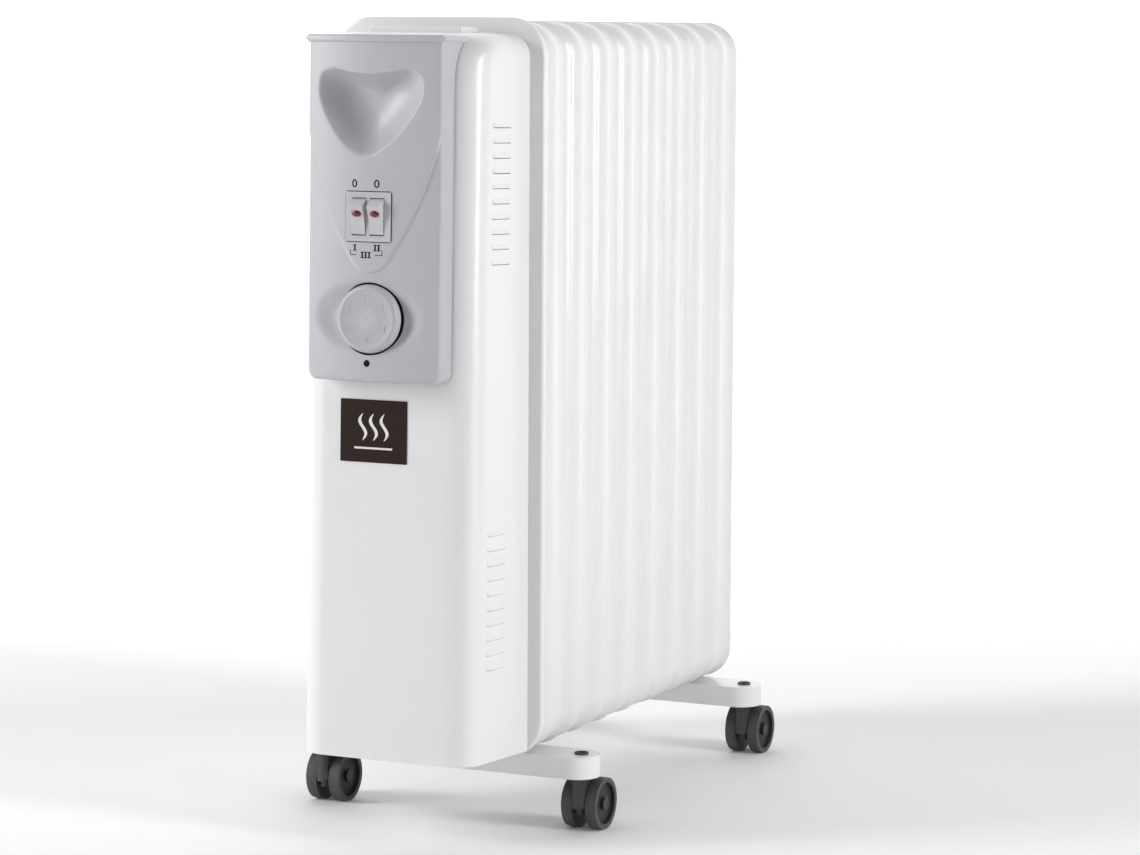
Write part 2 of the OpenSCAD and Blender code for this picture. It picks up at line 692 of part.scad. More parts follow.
module castor_fork(y, side) color("dimgray") at_castor(y, side) difference() {
    union() {
        cylinder(h = bar_z1 - 1, r = stem_r);
        translate([0, 0, collar_z]) cylinder(h = bar_z0 - 0.6 - collar_z, r = 7.5);
        intersection() {
            translate([0, 0, 18]) cylinder(h = collar_z - 18 + eps, r = 7.5);
            block(-fork_half, fork_half, -10, 10, 10, 50);
        }
        translate([0, castor_trail, wheel_r]) intersection() {
            rotate([0, 90, 0]) translate([0, 0, -fork_half]) cylinder(h = 2 * fork_half, r = wheel_r + 0.8);
            union() {
                block(-20, 20, -30, 30, 0, 30);
                rotate([0, 90, 0]) translate([0, 0, -20]) cylinder(h = 40, r = 7);
            }
        }
    }
    translate([0, 0, -1]) cylinder(h = 14, r = 20);
    translate([-20, castor_trail, wheel_r]) rotate([0, 90, 0]) cylinder(h = 40, r = axle_r + running);
}

module castor_wheels(y, side) color("black") at_castor(y, side)
    translate([0, castor_trail, wheel_r]) rotate([0, 90, 0]) {
        translate([0, 0, -fork_half - 0.5 - tyre_w]) cylinder(h = 2 * (fork_half + 0.5 + tyre_w), r = axle_r);
        for (s = [0, 1]) mirror([0, 0, s]) translate([0, 0, fork_half + 0.5]) difference() {
            cylinder(h = tyre_w, r = wheel_r);
            translate([0, 0, tyre_w - 3]) difference() {
                cylinder(h = 4, r = wheel_r - 4);
                translate([0, 0, -1]) cylinder(h = 6, r = 5);
            }
        }
    }

// ---- nodes ----

for (i = [1 : fin_count]) place() fin(i);
place() header_collars(header_z[1]);  // top_header_collars
place() header_collars(header_z[0]);  // bottom_header_collars
place() header_caps();
place() oil_filler_plug();
place() heating_element();
place() element_gasket();
place() control_box_shell();
place() box_bottom_plate();
place() box_top_cover();
place() heat_shield();
place() shield_spacers();
place() box_nuts();
place() control_housing();
place() housing_screws();
place() name_badge();
place() switch_body();
place() rocker_pin();
place() rocker(-1);  // rocker_left
place() rocker(1);  // rocker_right
place() lens(-1);  // lens_left
place() lens(1);  // lens_right
place() thermostat_body();
place() thermostat_shaft();
place() thermostat_knob();
place() thermal_cutout();
place() cutout_clip();
place() terminal_block();
place() wiring();
place() cable_grommet();
place() foot_bar(bar_y[0]);  // foot_bar_front
place() foot_bar(bar_y[1]);  // foot_bar_rear
place() foot_u_bolts();
place() foot_wing_nuts();
place() castor_bushes();
place() castor_fork(bar_y[0], -1);  // castor_fork_front_left
place() castor_fork(bar_y[0], 1);  // castor_fork_front_right
place() castor_fork(bar_y[1], -1);  // castor_fork_rear_left
place() castor_fork(bar_y[1], 1);  // castor_fork_rear_right
place() castor_wheels(bar_y[0], -1);  // castor_wheels_front_left
place() castor_wheels(bar_y[0], 1);  // castor_wheels_front_right
place() castor_wheels(bar_y[1], -1);  // castor_wheels_rear_left
place() castor_wheels(bar_y[1], 1);  // castor_wheels_rear_right
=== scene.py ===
import json
import math

import bpy
import numpy as np
from mathutils import Matrix, Vector


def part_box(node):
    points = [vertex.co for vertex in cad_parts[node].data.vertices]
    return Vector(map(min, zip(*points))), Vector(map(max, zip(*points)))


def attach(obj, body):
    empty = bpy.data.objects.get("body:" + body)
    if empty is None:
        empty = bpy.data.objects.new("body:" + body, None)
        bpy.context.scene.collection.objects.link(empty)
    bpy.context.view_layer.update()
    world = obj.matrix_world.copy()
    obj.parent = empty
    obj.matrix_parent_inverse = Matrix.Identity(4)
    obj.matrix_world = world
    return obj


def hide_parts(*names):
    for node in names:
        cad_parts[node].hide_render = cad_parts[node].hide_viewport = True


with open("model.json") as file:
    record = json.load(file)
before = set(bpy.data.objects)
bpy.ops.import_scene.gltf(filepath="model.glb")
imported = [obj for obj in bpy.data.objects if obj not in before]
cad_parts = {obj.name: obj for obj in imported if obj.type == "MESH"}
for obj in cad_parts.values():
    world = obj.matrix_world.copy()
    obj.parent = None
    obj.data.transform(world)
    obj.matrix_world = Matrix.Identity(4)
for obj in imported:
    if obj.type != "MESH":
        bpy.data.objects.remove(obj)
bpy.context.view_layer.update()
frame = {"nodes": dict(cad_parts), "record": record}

# ---------------------------------------------------------------- frame

MM = 0.001
JOINTS = {j["name"]: j for j in frame["record"]["behaviour"]["joints"]}
TURN = JOINTS["thermostat_turn"]
LEAN = math.asin(TURN["axis"][2])
LEAN_Y, LEAN_Z = -100.0, 400.0      # the line the control face leans back about
# The first fin's front face lies 11.5 mm in front of the first collar.
FRONT_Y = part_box("top_header_collars")[0][1] / MM - 11.5

FIN_COUNT = 9
FIN_W = (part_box("fin_3")[1][0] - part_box("fin_3")[0][0]) / MM
FIN_Z0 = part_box("fin_3")[0][2] / MM
FIN_Z1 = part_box("fin_3")[1][2] / MM
PLATE_Z0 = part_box("fin_1")[0][2] / MM
PLATE_Z1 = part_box("fin_1")[1][2] / MM
PITCH = (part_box("fin_4")[1][1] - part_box("fin_3")[1][1]) / MM
WEB_Y = 0.5


def place(points, lean=False):
    """Design millimetres (Y from the first fin's face) to the row frame in metres."""
    p = np.array(points, dtype=float).reshape(-1, 3)
    if lean:
        y, z = p[:, 1] - LEAN_Y, p[:, 2] - LEAN_Z
        p[:, 1] = LEAN_Y + y * math.cos(LEAN) + z * math.sin(LEAN)
        p[:, 2] = LEAN_Z - y * math.sin(LEAN) + z * math.cos(LEAN)
    p[:, 1] += FRONT_Y
    return p * MM


def unlean(point_m):
    """A leant point of the row frame, in metres, back to upright design millimetres."""
    x, y, z = (c / MM for c in point_m)
    y -= FRONT_Y + LEAN_Y
    z -= LEAN_Z
    return (x, LEAN_Y + y * math.cos(LEAN) - z * math.sin(LEAN),
            LEAN_Z + y * math.sin(LEAN) + z * math.cos(LEAN))


# ---------------------------------------------------------------- materials

def node(tree, kind, **inputs):
    n = tree.nodes.new(kind)
    for key, value in inputs.items():
        n.inputs[key.replace("_", " ")].default_value = value
    return n


def finish(name, base, other=None, patch=18.0, rough=(0.3, 0.4), rough_scale=140.0, grain=900.0,
           grain_depth=0.00003, metallic=0.0, coat=0.0, coat_rough=0.1, edge=0.0, sheen=0.0, stretch=None,
           glow=0.0, specular=0.5):
    """A surface with patchy colour, uneven gloss and a fine grain, all from its own nodes."""
    m = bpy.data.materials.new(name)
    m.use_nodes = True
    t = m.node_tree
    t.nodes.clear()
    out = t.nodes.new("ShaderNodeOutputMaterial")
    sh = t.nodes.new("ShaderNodeBsdfPrincipled")
    t.links.new(sh.outputs["BSDF"], out.inputs["Surface"])
    sh.inputs["Metallic"].default_value = metallic
    sh.inputs["Coat Weight"].default_value = coat
    sh.inputs["Coat Roughness"].default_value = coat_rough
    sh.inputs["Sheen Weight"].default_value = sheen
    sh.inputs["Specular IOR Level"].default_value = specular
    sh.inputs["Emission Color"].default_value = (1, 1, 1, 1)
    sh.inputs["Emission Strength"].default_value = glow
    where = t.nodes.new("ShaderNodeTexCoord")
    source = where.outputs["Object"]
    if stretch:
        mapping = t.nodes.new("ShaderNodeMapping")
        mapping.inputs["Scale"].default_value = stretch
        t.links.new(source, mapping.inputs["Vector"])
        source = mapping.outputs["Vector"]
    other = other or tuple(c * 0.94 for c in base)
    cloud = node(t, "ShaderNodeTexNoise", Scale=patch, Detail=3.0)
    t.links.new(source, cloud.inputs["Vector"])
    blend = t.nodes.new("ShaderNodeMix")
    blend.data_type = "RGBA"
    blend.inputs["A"].default_value = (*base, 1)
    blend.inputs["B"].default_value = (*other, 1)
    t.links.new(cloud.outputs["Fac"], blend.inputs["Factor"])
    colour = blend.outputs["Result"]
    # Painted highlight: convex edges (by Pointiness) are mixed toward white, a bright line along the edges that on the
    # dark parts also reads as rubbed wear.
    if edge:
        geo = t.nodes.new("ShaderNodeNewGeometry")
        ramp = t.nodes.new("ShaderNodeMapRange")
        ramp.inputs["From Min"].default_value = 0.52
        ramp.inputs["From Max"].default_value = 0.62
        ramp.inputs["To Max"].default_value = abs(edge)
        t.links.new(geo.outputs["Pointiness"], ramp.inputs["Value"])
        edge_highlight_and_wear = t.nodes.new("ShaderNodeMix")
        edge_highlight_and_wear.data_type = "RGBA"
        edge_highlight_and_wear.inputs["B"].default_value = (1, 1, 1, 1) if edge > 0 else (0.3, 0.3, 0.3, 1)
        t.links.new(ramp.outputs["Result"], edge_highlight_and_wear.inputs["Factor"])
        t.links.new(colour, edge_highlight_and_wear.inputs["A"])
        colour = edge_highlight_and_wear.outputs["Result"]
    t.links.new(colour, sh.inputs["Base Color"])
    gloss = node(t, "ShaderNodeTexNoise", Scale=rough_scale, Detail=4.0)
    t.links.new(source, gloss.inputs["Vector"])
    spread = t.nodes.new("ShaderNodeMapRange")
    spread.inputs["To Min"].default_value = rough[0]
    spread.inputs["To Max"].default_value = rough[1]
    t.links.new(gloss.outputs["Fac"], spread.inputs["Value"])
    t.links.new(spread.outputs["Result"], sh.inputs["Roughness"])
    fine = node(t, "ShaderNodeTexNoise", Scale=grain, Detail=2.0)
    t.links.new(source, fine.inputs["Vector"])
    bump = t.nodes.new("ShaderNodeBump")
    bump.inputs["Strength"].default_value = 0.5
    bump.inputs["Distance"].default_value = grain_depth
    t.links.new(fine.outputs["Fac"], bump.inputs["Height"])
    t.links.new(bump.outputs["Normal"], sh.inputs["Normal"])
    return m


ENAMEL = finish("white_enamel", (0.80, 0.805, 0.815), (0.775, 0.78, 0.79), rough=(0.29, 0.35), grain=900,
                grain_depth=0.000006, coat=0.25, coat_rough=0.12, edge=0.15)
BOX_ENAMEL = finish("box_enamel", (0.81, 0.815, 0.825), (0.79, 0.795, 0.805), rough=(0.30, 0.37), grain=900,
                    grain_depth=0.000006, coat=0.3, coat_rough=0.12, edge=0.1)
GREY = finish("grey_plastic", (0.50, 0.495, 0.525), (0.485, 0.48, 0.51), rough=(0.36, 0.46), grain=3200,
              grain_depth=0.00003, coat=0.06, coat_rough=0.3, edge=0.12)
KNOB_GREY = finish("knob_grey", (0.47, 0.465, 0.49), (0.455, 0.45, 0.475), rough=(0.34, 0.44), grain=3200,
                   grain_depth=0.00003, coat=0.06, coat_rough=0.3, edge=0.15)
DARK = finish("dark_plastic", (0.022, 0.022, 0.024), (0.03, 0.03, 0.033), rough=(0.42, 0.58), grain=2600,
              grain_depth=0.00005, edge=0.04)
TYRE = finish("tyre_rubber", (0.018, 0.018, 0.019), (0.026, 0.025, 0.025), rough=(0.55, 0.72), grain=1500,
              grain_depth=0.00006, edge=0.05)
INK = finish("print_ink", (0.008, 0.008, 0.009), (0.012, 0.012, 0.013), rough=(0.6, 0.7), grain=2000,
             grain_depth=0.00002, specular=0.1)
GAP = finish("shadow_gap", (0.008, 0.008, 0.009), (0.014, 0.014, 0.014), rough=(0.7, 0.85), grain=1500,
             grain_depth=0.00003, specular=0.1)
STEEL = finish("zinc_steel", (0.62, 0.62, 0.63), (0.52, 0.52, 0.54), rough=(0.30, 0.42), grain=700,
               grain_depth=0.00003, metallic=1.0, edge=0.2)
SHIELD = finish("mill_aluminium", (0.78, 0.78, 0.79), (0.70, 0.70, 0.72), rough=(0.30, 0.38), grain=500,
                grain_depth=0.00003, metallic=1.0, stretch=(1, 1, 0.08))
RED = finish("red_lens", (0.13, 0.004, 0.008), (0.09, 0.003, 0.005), patch=220, rough=(0.14, 0.22), grain=900,
             grain_depth=0.00002, coat=0.4, coat_rough=0.08)
PINK = finish("lens_surround", (0.62, 0.40, 0.42), (0.55, 0.33, 0.36), patch=220, rough=(0.3, 0.4), grain=2500,
              grain_depth=0.00002)
LABEL = finish("label_film", (0.018, 0.007, 0.006), (0.022, 0.009, 0.007), rough=(0.4, 0.5), grain=1800,
               grain_depth=0.00001, specular=0.2)
LABEL_INK = finish("label_print", (0.80, 0.80, 0.79), (0.76, 0.76, 0.75), rough=(0.3, 0.4), grain=1800,
                   grain_depth=0.00001)
RUBBER = finish("black_rubber", (0.02, 0.02, 0.02), (0.03, 0.03, 0.03), rough=(0.55, 0.7), grain=1200,
                grain_depth=0.00005)
GASKET = finish("silicone_gasket", (0.30, 0.03, 0.02), (0.25, 0.03, 0.02), rough=(0.5, 0.6), grain=1500,
                grain_depth=0.00004)
IVORY = finish("ivory_block", (0.70, 0.66, 0.52), (0.64, 0.60, 0.47), rough=(0.3, 0.42), grain=1600,
               grain_depth=0.00003)
SLEEVE = finish("glass_sleeve", (0.24, 0.11, 0.05), (0.34, 0.17, 0.08), patch=300, rough=(0.6, 0.8), grain=1800,
                grain_depth=0.0001)


# ---------------------------------------------------------------- mesh helpers

def grid(rows, cols, close_rows=False, close_cols=False, flip=False):
    """Faces of a rows x cols grid of points stored row by row."""
    faces = []
    for r in range(rows if close_rows else rows - 1):
        for c in range(cols if close_cols else cols - 1):
            r2, c2 = (r + 1) % rows, (c + 1) % cols
            quad = (r * cols + c, r * cols + c2, r2 * cols + c2, r2 * cols + c)
            faces.append(quad[::-1] if flip else quad)
    return faces


def build(name, points, faces, material, slot, body="heater", lean=False, smooth=35.0, stands_for=(),
          metres=False):
    mesh = bpy.data.meshes.new(name)
    verts = np.asarray(points) if metres else place(points, lean)
    mesh.from_pydata([tuple(v) for v in verts], [], [tuple(int(i) for i in f) for f in faces])
    mesh.validate()
    mesh.update()
    mesh.materials.append(material)
    mesh.shade_smooth()
    if smooth:
        mesh.set_sharp_from_angle(angle=math.radians(smooth))
    obj = bpy.data.objects.new(name, mesh)
    bpy.context.scene.collection.objects.link(obj)
    if stands_for:
        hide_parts(*stands_for)
    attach(obj, body)
    return obj


def merge(parts):
    """Several (points, faces) as one."""
    points, faces, start = [], [], 0
    for p, f in parts:
        p = np.asarray(p, dtype=float).reshape(-1, 3)
        points.append(p)
        faces += [tuple(i + start for i in face) for face in f]
        start += len(p)
    return np.concatenate(points), faces


def smoothstep(t):
    t = np.clip(t, 0, 1)
    return t * t * (3 - 2 * t)


def segment_distance(x, z, line, closed=True):
    """Distance from each point to a polyline, and whether it is inside a closed one."""
    line = np.asarray(line, dtype=float)
    ends = np.roll(line, -1, axis=0) if closed else line[1:]
    starts = line if closed else line[:-1]
    best = np.full(x.shape, 1e9)
    inside = np.zeros(x.shape, dtype=bool)
    for (ax, az), (bx, bz) in zip(starts, ends):
        dx, dz = bx - ax, bz - az
        t = np.clip(((x - ax) * dx + (z - az) * dz) / (dx * dx + dz * dz + 1e-12), 0, 1)
        best = np.minimum(best, np.hypot(x - ax - t * dx, z - az - t * dz))
        if closed and az != bz:
            inside ^= ((az > z) != (bz > z)) & (x < (bx - ax) * (z - az) / (bz - az) + ax)
    return best, inside


def lathe(profile, steps=96):
    """(radius, height) pairs turned about the Y axis, height towards -Y, centred on the origin."""
    profile = np.asarray(profile, dtype=float)
    a = np.linspace(0, 2 * math.pi, steps, endpoint=False)
    pts = []
    for r, h in profile:
        pts.append(np.stack([r * np.cos(a), np.full(steps, -h), r * np.sin(a)], axis=1))
    return np.concatenate(pts), grid(len(profile), steps, close_cols=True)


def moved(part, x=0.0, y=0.0, z=0.0):
    return np.asarray(part[0]) + np.array([x, y, z]), part[1]


# ---------------------------------------------------------------- fins

EDGE_DEPTH = 39.5
EDGE_DROP, CROWN_DROP, VALLEY_DROP = 11.0, 1.0, 3.5
CROWN_AT, VALLEY_AT = -0.6 * EDGE_DEPTH, -0.2 * EDGE_DEPTH
SHEET = 1.0
CORNER = 27.0


def edge_line():
    """Outer line of a fin's rounded edge, front lip to hem: (outward, back)."""
    pts = []
    for a in np.radians(np.arange(90, 1, -6)):
        pts.append((-CROWN_DROP - (EDGE_DROP - CROWN_DROP) * (1 - math.cos(a)),
                    CROWN_AT - (EDGE_DEPTH + CROWN_AT) * math.sin(a)))
    for u in np.arange(0, 0.999, 0.1):
        pts.append((-CROWN_DROP - (VALLEY_DROP - CROWN_DROP) * (1 - math.cos(math.pi * u)) / 2,
                    CROWN_AT + (VALLEY_AT - CROWN_AT) * u))
    for a in np.arange(0, 91, 9):
        pts.append((-VALLEY_DROP * math.cos(math.radians(a)), VALLEY_AT * (1 - a / 90)))
    return np.array(pts)


def edge_loop():
    """Closed section of the rounded edge: outer line, rolled hem, inner line and rolled front lip."""
    outer = edge_line()
    tangent = np.gradient(outer, axis=0)
    normal = np.stack([tangent[:, 1], -tangent[:, 0]], axis=1)
    normal /= np.linalg.norm(normal, axis=1)[:, None]
    inner = outer - normal * SHEET
    hem = np.array([(-0.05, 0.35), (-0.35, 0.62), (-0.8, 0.72), (-1.3, 0.5)])
    return np.concatenate([outer, hem, inner[::-1]])


def fold_loop():
    """Closed section of the fold that closes the back of the last fin."""
    outer = np.array([(0.0, -0.3), (-0.5, 0.7), (-1.2, 1.9), (-2.2, 3.4), (-3.6, 5.1), (-5.3, 6.7),
                      (-7.2, 8.0), (-9.4, 8.9), (-10.2, 9.0)])
    tangent = np.gradient(outer, axis=0)
    normal = np.stack([tangent[:, 1], -tangent[:, 0]], axis=1)
    normal /= np.linalg.norm(normal, axis=1)[:, None]
    return np.concatenate([outer, (outer - normal * SHEET)[::-1]])


def outline(half_w, z0, z1, r, steps=14):
    """Stations of a rounded rectangle: (x, z, outward x, outward z)."""
    out = []
    for cx, cz, start in ((half_w - r, z0 + r, -90), (half_w - r, z1 - r, 0),
                          (-half_w + r, z1 - r, 90), (-half_w + r, z0 + r, 180)):
        for a in np.radians(np.linspace(start, start + 90, steps)):
            out.append((cx + r * math.cos(a), cz + r * math.sin(a), math.cos(a), math.sin(a)))
    return out


def swept(section, stations, y):
    """A closed section (outward, back) carried round the outline."""
    pts = [(sx + nx * o, y + b, sz + nz * o) for sx, sz, nx, nz in stations for o, b in section]
    return pts, grid(len(stations), len(section), close_rows=True, close_cols=True)


HEADERS = [(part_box("bottom_header_collars")[0][2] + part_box("bottom_header_collars")[1][2]) / 2 / MM,
           (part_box("top_header_collars")[0][2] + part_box("top_header_collars")[1][2]) / 2 / MM]


def web(y, half_w, z0, z1, r, cols, rows, bore_back):
    """Both faces of a fin's panel, with its two oil channels and header bosses pressed out."""
    t = np.linspace(-1, 1, cols)
    zs = np.linspace(z0, z1, rows)
    zs = np.unique(np.concatenate([zs, z0 + r * (1 - np.cos(np.linspace(0, math.pi / 2, 8))),
                                   z1 - r * (1 - np.cos(np.linspace(0, math.pi / 2, 8)))]))
    near = np.minimum(zs - z0, z1 - zs)
    half = half_w - np.where(near < r, r - np.sqrt(np.maximum(r * r - (r - near) ** 2, 0)), 0)
    x = t[None, :] * half[:, None]
    z = np.repeat(zs[:, None], cols, axis=1)
    h = np.zeros_like(x)
    for cx in (-15, 15):
        d = np.abs(x - cx) / 12
        along = smoothstep((z - HEADERS[0] + 4) / 20) * smoothstep((HEADERS[1] + 4 - z) / 20)
        h = np.maximum(h, 7.4 * (0.5 + 0.5 * np.cos(math.pi * np.clip(d, 0, 1))) * along)
    for cz in HEADERS:
        d = np.hypot(x, z - cz)
        h = np.maximum(h, 10.9 * smoothstep((30 - d) / 8))
    h = h * smoothstep((half_w - 4 - np.abs(x)) / 10)
    front = np.stack([x, y - SHEET / 2 - h, z], axis=2).reshape(-1, 3)
    back = np.stack([x, y + SHEET / 2 + h, z], axis=2).reshape(-1, 3)
    n, m = len(zs), cols
    faces = grid(n, m) + [tuple(i + n * m for i in f[::-1]) for f in grid(n, m)]
    rim = list(range(m)) + [r_ * m + m - 1 for r_ in range(1, n)] \
        + [(n - 1) * m + c for c in range(m - 2, -1, -1)] + [r_ * m for r_ in range(n - 2, 0, -1)]
    for a, b in zip(rim, rim[1:] + rim[:1]):
        faces.append((b, a, a + n * m, b + n * m))
    return np.concatenate([front, back]), faces


def make_fins():
    stations = outline(FIN_W / 2, FIN_Z0, FIN_Z1, CORNER)
    loop = edge_loop()
    for i in range(2, FIN_COUNT + 1):
        y = WEB_Y + (i - 1) * PITCH
        last = i == FIN_COUNT
        parts = [swept(loop, stations, y),
                 web(y, FIN_W / 2 - 1.6, FIN_Z0 + 1.6, FIN_Z1 - 1.6, CORNER - 1.6,
                     121 if last else 61, 241 if last else 81, last)]
        if last:
            parts.append(swept(fold_loop(), stations, y))
        pts, faces = merge(parts)
        build(f"fin_{i}_pressed", pts, faces, ENAMEL, "white_enamel", stands_for=(f"fin_{i}",), smooth=50)
    # first fin: flat plate with a rounded outer hem
    r = 2.6
    bend = [(-r + r * math.sin(a), r - r * math.cos(a)) for a in np.radians(np.arange(0, 91, 10))]
    inner = [(-r + (r - SHEET) * math.sin(a), r - (r - SHEET) * math.cos(a)) for a in np.radians(np.arange(90, -1, -10))]
    section = np.array([(-16, 0.0), (-9, 0.0)] + bend + [(0, 4.4), (-SHEET, 4.4)] + inner + [(-9, SHEET), (-16, SHEET)])
    stations = outline(FIN_W / 2, PLATE_Z0, PLATE_Z1, CORNER + 2.5)
    panel = web(WEB_Y, FIN_W / 2 - 15.5, PLATE_Z0 + 15.5, PLATE_Z1 - 15.5, CORNER - 15.5, 61, 81, False)
    pts, faces = merge([swept(section, stations, 0.0), panel])
    build("fin_1_pressed", pts, faces, ENAMEL, "white_enamel", stands_for=("fin_1",), smooth=50)


make_fins()

# ---------------------------------------------------------------- control box

BOX_DEPTH = 85.0
BOX_BACK, BOX_FRONT, BOX_R = 77.5, 73.5, 24.0
BOX_Z0, BOX_Z1 = 66.0, 609.6
SHOULDER_R, BROW_R = 17.0, 36.0
BOX_END = 10.0                      # depth at which the flared sides are BOX_BACK apart
LOUVRE_Y = (-58.0, -31.0)
LOUVRE_Z = [540.0 - 11.23 * i for i in range(10)] + [236.9 - 11.23 * i for i in range(10)]


def back_y(z):
    """Upright depth at which the leant box meets the first fin's face."""
    return LEAN_Y + (-0.1 - LEAN_Y - (z - LEAN_Z) * math.sin(LEAN)) / math.cos(LEAN)


def side_x(y):
    """Half width of the box's side wall at a depth."""
    cy = -BOX_DEPTH + BOX_R
    return BOX_FRONT + (BOX_BACK - BOX_FRONT) * (y - cy) / (BOX_END - cy)


def box_ring(pull, depth, z):
    """Plan of the box at one height, from the back right round the front to the back left."""
    cx, cy = BOX_FRONT - pull - BOX_R, -depth + BOX_R
    end = back_y(z)
    pts = [(side_x(y) - pull, y) for y in np.linspace(end, cy, 16)[:-1]]
    pts += [(cx + BOX_R * math.cos(a), cy - BOX_R * math.sin(a)) for a in np.radians(np.linspace(0, 90, 15))]
    right = [(x, y, z) for x, y in pts]
    front = [(cx * (1 - 2 * t), -depth, z) for t in np.linspace(0, 1, 17)[1:-1]]
    return right + front + [(-x, y, z) for x, y, z in right[::-1]]


def box_surface():
    rings = []
    for z in np.linspace(BOX_Z0, BOX_Z1 - BROW_R, 40)[:-1]:
        rings.append(box_ring(0, BOX_DEPTH, z))
    for z in BOX_Z1 - BROW_R * (1 - np.sin(np.radians(np.linspace(0, 90, 25)))):
        brow = BROW_R - math.sqrt(max(BROW_R ** 2 - (z - BOX_Z1 + BROW_R) ** 2, 0))
        over = max(z - BOX_Z1 + SHOULDER_R, 0)
        pull = SHOULDER_R - math.sqrt(max(SHOULDER_R ** 2 - over ** 2, 0))
        rings.append(box_ring(pull, BOX_DEPTH - brow, z))
    cols = len(rings[0])
    last = rings[-1]
    half = cols // 2
    pts = [p for ring in rings for p in ring]
    faces = grid(len(rings), cols, flip=True)
    # flat top: strips between the two sides of the last ring
    start = (len(rings) - 1) * cols
    for i in range(half - 1):
        faces.append((start + i, start + i + 1, start + cols - 2 - i, start + cols - 1 - i))
    return pts, faces, last


def cuboid(x0, x1, y0, y1, z0, z1):
    pts = [(x, y, z) for z in (z0, z1) for y in (y0, y1) for x in (x0, x1)]
    return pts, [(0, 2, 3, 1), (4, 5, 7, 6), (0, 1, 5, 4), (2, 6, 7, 3), (0, 4, 6, 2), (1, 3, 7, 5)]


def applied(obj, cut=None, thick=None):
    """The object's mesh with a wall thickness and cut-outs made real."""
    if thick:
        m = obj.modifiers.new("wall", "SOLIDIFY")
        m.thickness = thick
        m.offset = -1
    if cut:
        m = obj.modifiers.new("cut", "BOOLEAN")
        m.operation = "DIFFERENCE"
        m.solver = "EXACT"
        m.object = cut
    dg = bpy.context.evaluated_depsgraph_get()
    mesh = bpy.data.meshes.new_from_object(obj.evaluated_get(dg), depsgraph=dg)
    obj.modifiers.clear()
    obj.data = mesh
    mesh.shade_smooth()
    mesh.set_sharp_from_angle(angle=math.radians(35))
    if cut:
        bpy.data.objects.remove(cut)


def make_box():
    pts, faces, _ = box_surface()
    shell = build("control_box_drawn", pts, faces, BOX_ENAMEL, "box_enamel", lean=True,
                  stands_for=("control_box_shell",))
    cutters = []
    for z in LOUVRE_Z:
        for s in (-1, 1):
            x = sorted((s * 60, s * 90))
            cutters.append(cuboid(x[0], x[1], LOUVRE_Y[0] + 0.6, LOUVRE_Y[1] - 0.6, z - 0.3, z + 0.3))
    cutters.append(cuboid(-30, 30, -100, -70, 380, 500))
    p, f = merge(cutters)
    mesh = bpy.data.meshes.new("cutters")
    mesh.from_pydata([tuple(v) for v in place(p, True)], [], f)
    tool = bpy.data.objects.new("cutters", mesh)
    bpy.context.scene.collection.objects.link(tool)
    applied(shell, tool, 1.0 * MM)
    # pressed hoods over the slots
    parts = []
    nu, nv = 19, 9
    for z in LOUVRE_Z:
        for s in (-1, 1):
            hood = []
            for v in np.linspace(0, 1, nv):
                for u in np.linspace(0, 1, nu):
                    y = LOUVRE_Y[0] + (LOUVRE_Y[1] - LOUVRE_Y[0]) * u
                    lift = 0.85 * (1 - abs(2 * u - 1) ** 5) * math.cos(v * math.pi / 2) ** 1.2 - 0.1
                    hood.append((s * (side_x(y) + lift), y, z + 0.2 + v * 3.6))
            parts.append((hood, grid(nv, nu, flip=s > 0)))
    p, f = merge(parts)
    hoods = build("louvre_hoods", p, f, BOX_ENAMEL, "box_enamel", lean=True, smooth=60)
    applied(hoods, None, 0.3 * MM)


make_box()


def bevelled(obj, width, segments=3, angle=30):
    m = obj.modifiers.new("round", "BEVEL")
    m.width = width * MM
    m.segments = segments
    m.limit_method = "ANGLE"
    m.angle_limit = math.radians(angle)
    m.harden_normals = False
    return obj


def make_top_plate():
    x = 39.0
    part = cuboid(-x, x, -44.0, -16.0, BOX_Z1 - 0.5, BOX_Z1 + 4.6)
    bevelled(build("box_top_plate", *part, BOX_ENAMEL, "box_enamel", lean=True, stands_for=("box_top_cover",)), 1.2, 4)


make_top_plate()

# ---------------------------------------------------------------- control housing

FACE_Y = -BOX_DEPTH - 26.0
FACE_R = 230.0
HALF = 56.0
HOUSE_Z0, HOUSE_Z1 = 352.0, 606.5
HOUSE_R = 8.0
ROLL = 4.5
PLATE_H = 1.3
DISH_H = 3.5
SCOOP_H = 20.0
KNOB = unlean(TURN["pos_m"])
SCOOP = [(-44.7, 567.5), (-41.8, 578.0), (-31.0, 581.8), (-15.8, 579.2), (1.3, 578.3), (17.6, 580.1), (31.5, 581.3),
         (40.0, 575.5), (40.7, 562.5), (34.6, 549.2), (21.3, 532.4), (6.0, 521.0), (-2.5, 518.4), (-11.0, 519.6),
         (-22.6, 526.7), (-35.6, 542.5), (-43.0, 557.0)]
DEEPEST = (-4.0, 558.4)
TIP_Z, TIP_R = 432.6, 16.9


def v_half(z):
    """Half width of the raised plate at a height."""
    h = z - TIP_Z
    tip = np.sqrt(np.maximum(2 * TIP_R * h - h * h, 0))
    s = np.maximum(z - 440.0, 0)
    return np.where(h < 7.4, tip, 14 + 0.66 * s - 0.0024 * s * s)


V_EDGE = [(float(v_half(z)), float(z)) for z in np.concatenate([TIP_Z + 7.4 * np.linspace(0, 1, 9) ** 2, np.arange(442, 536, 4)])]
V_EDGE = [(-x, z) for x, z in V_EDGE[:0:-1]] + V_EDGE


def through(points, steps=6):
    """A smooth closed line through a few points."""
    p = np.asarray(points, dtype=float)
    before, after, beyond = np.roll(p, 1, axis=0), np.roll(p, -1, axis=0), np.roll(p, -2, axis=0)
    line = []
    for a, b, c, d in zip(before, p, after, beyond):
        for t in np.arange(steps) / steps:
            line.append(0.5 * (2 * b + (c - a) * t + (2 * a - 5 * b + 4 * c - d) * t ** 2 + (3 * b - a - 3 * c + d) * t ** 3))
    return np.array(line)


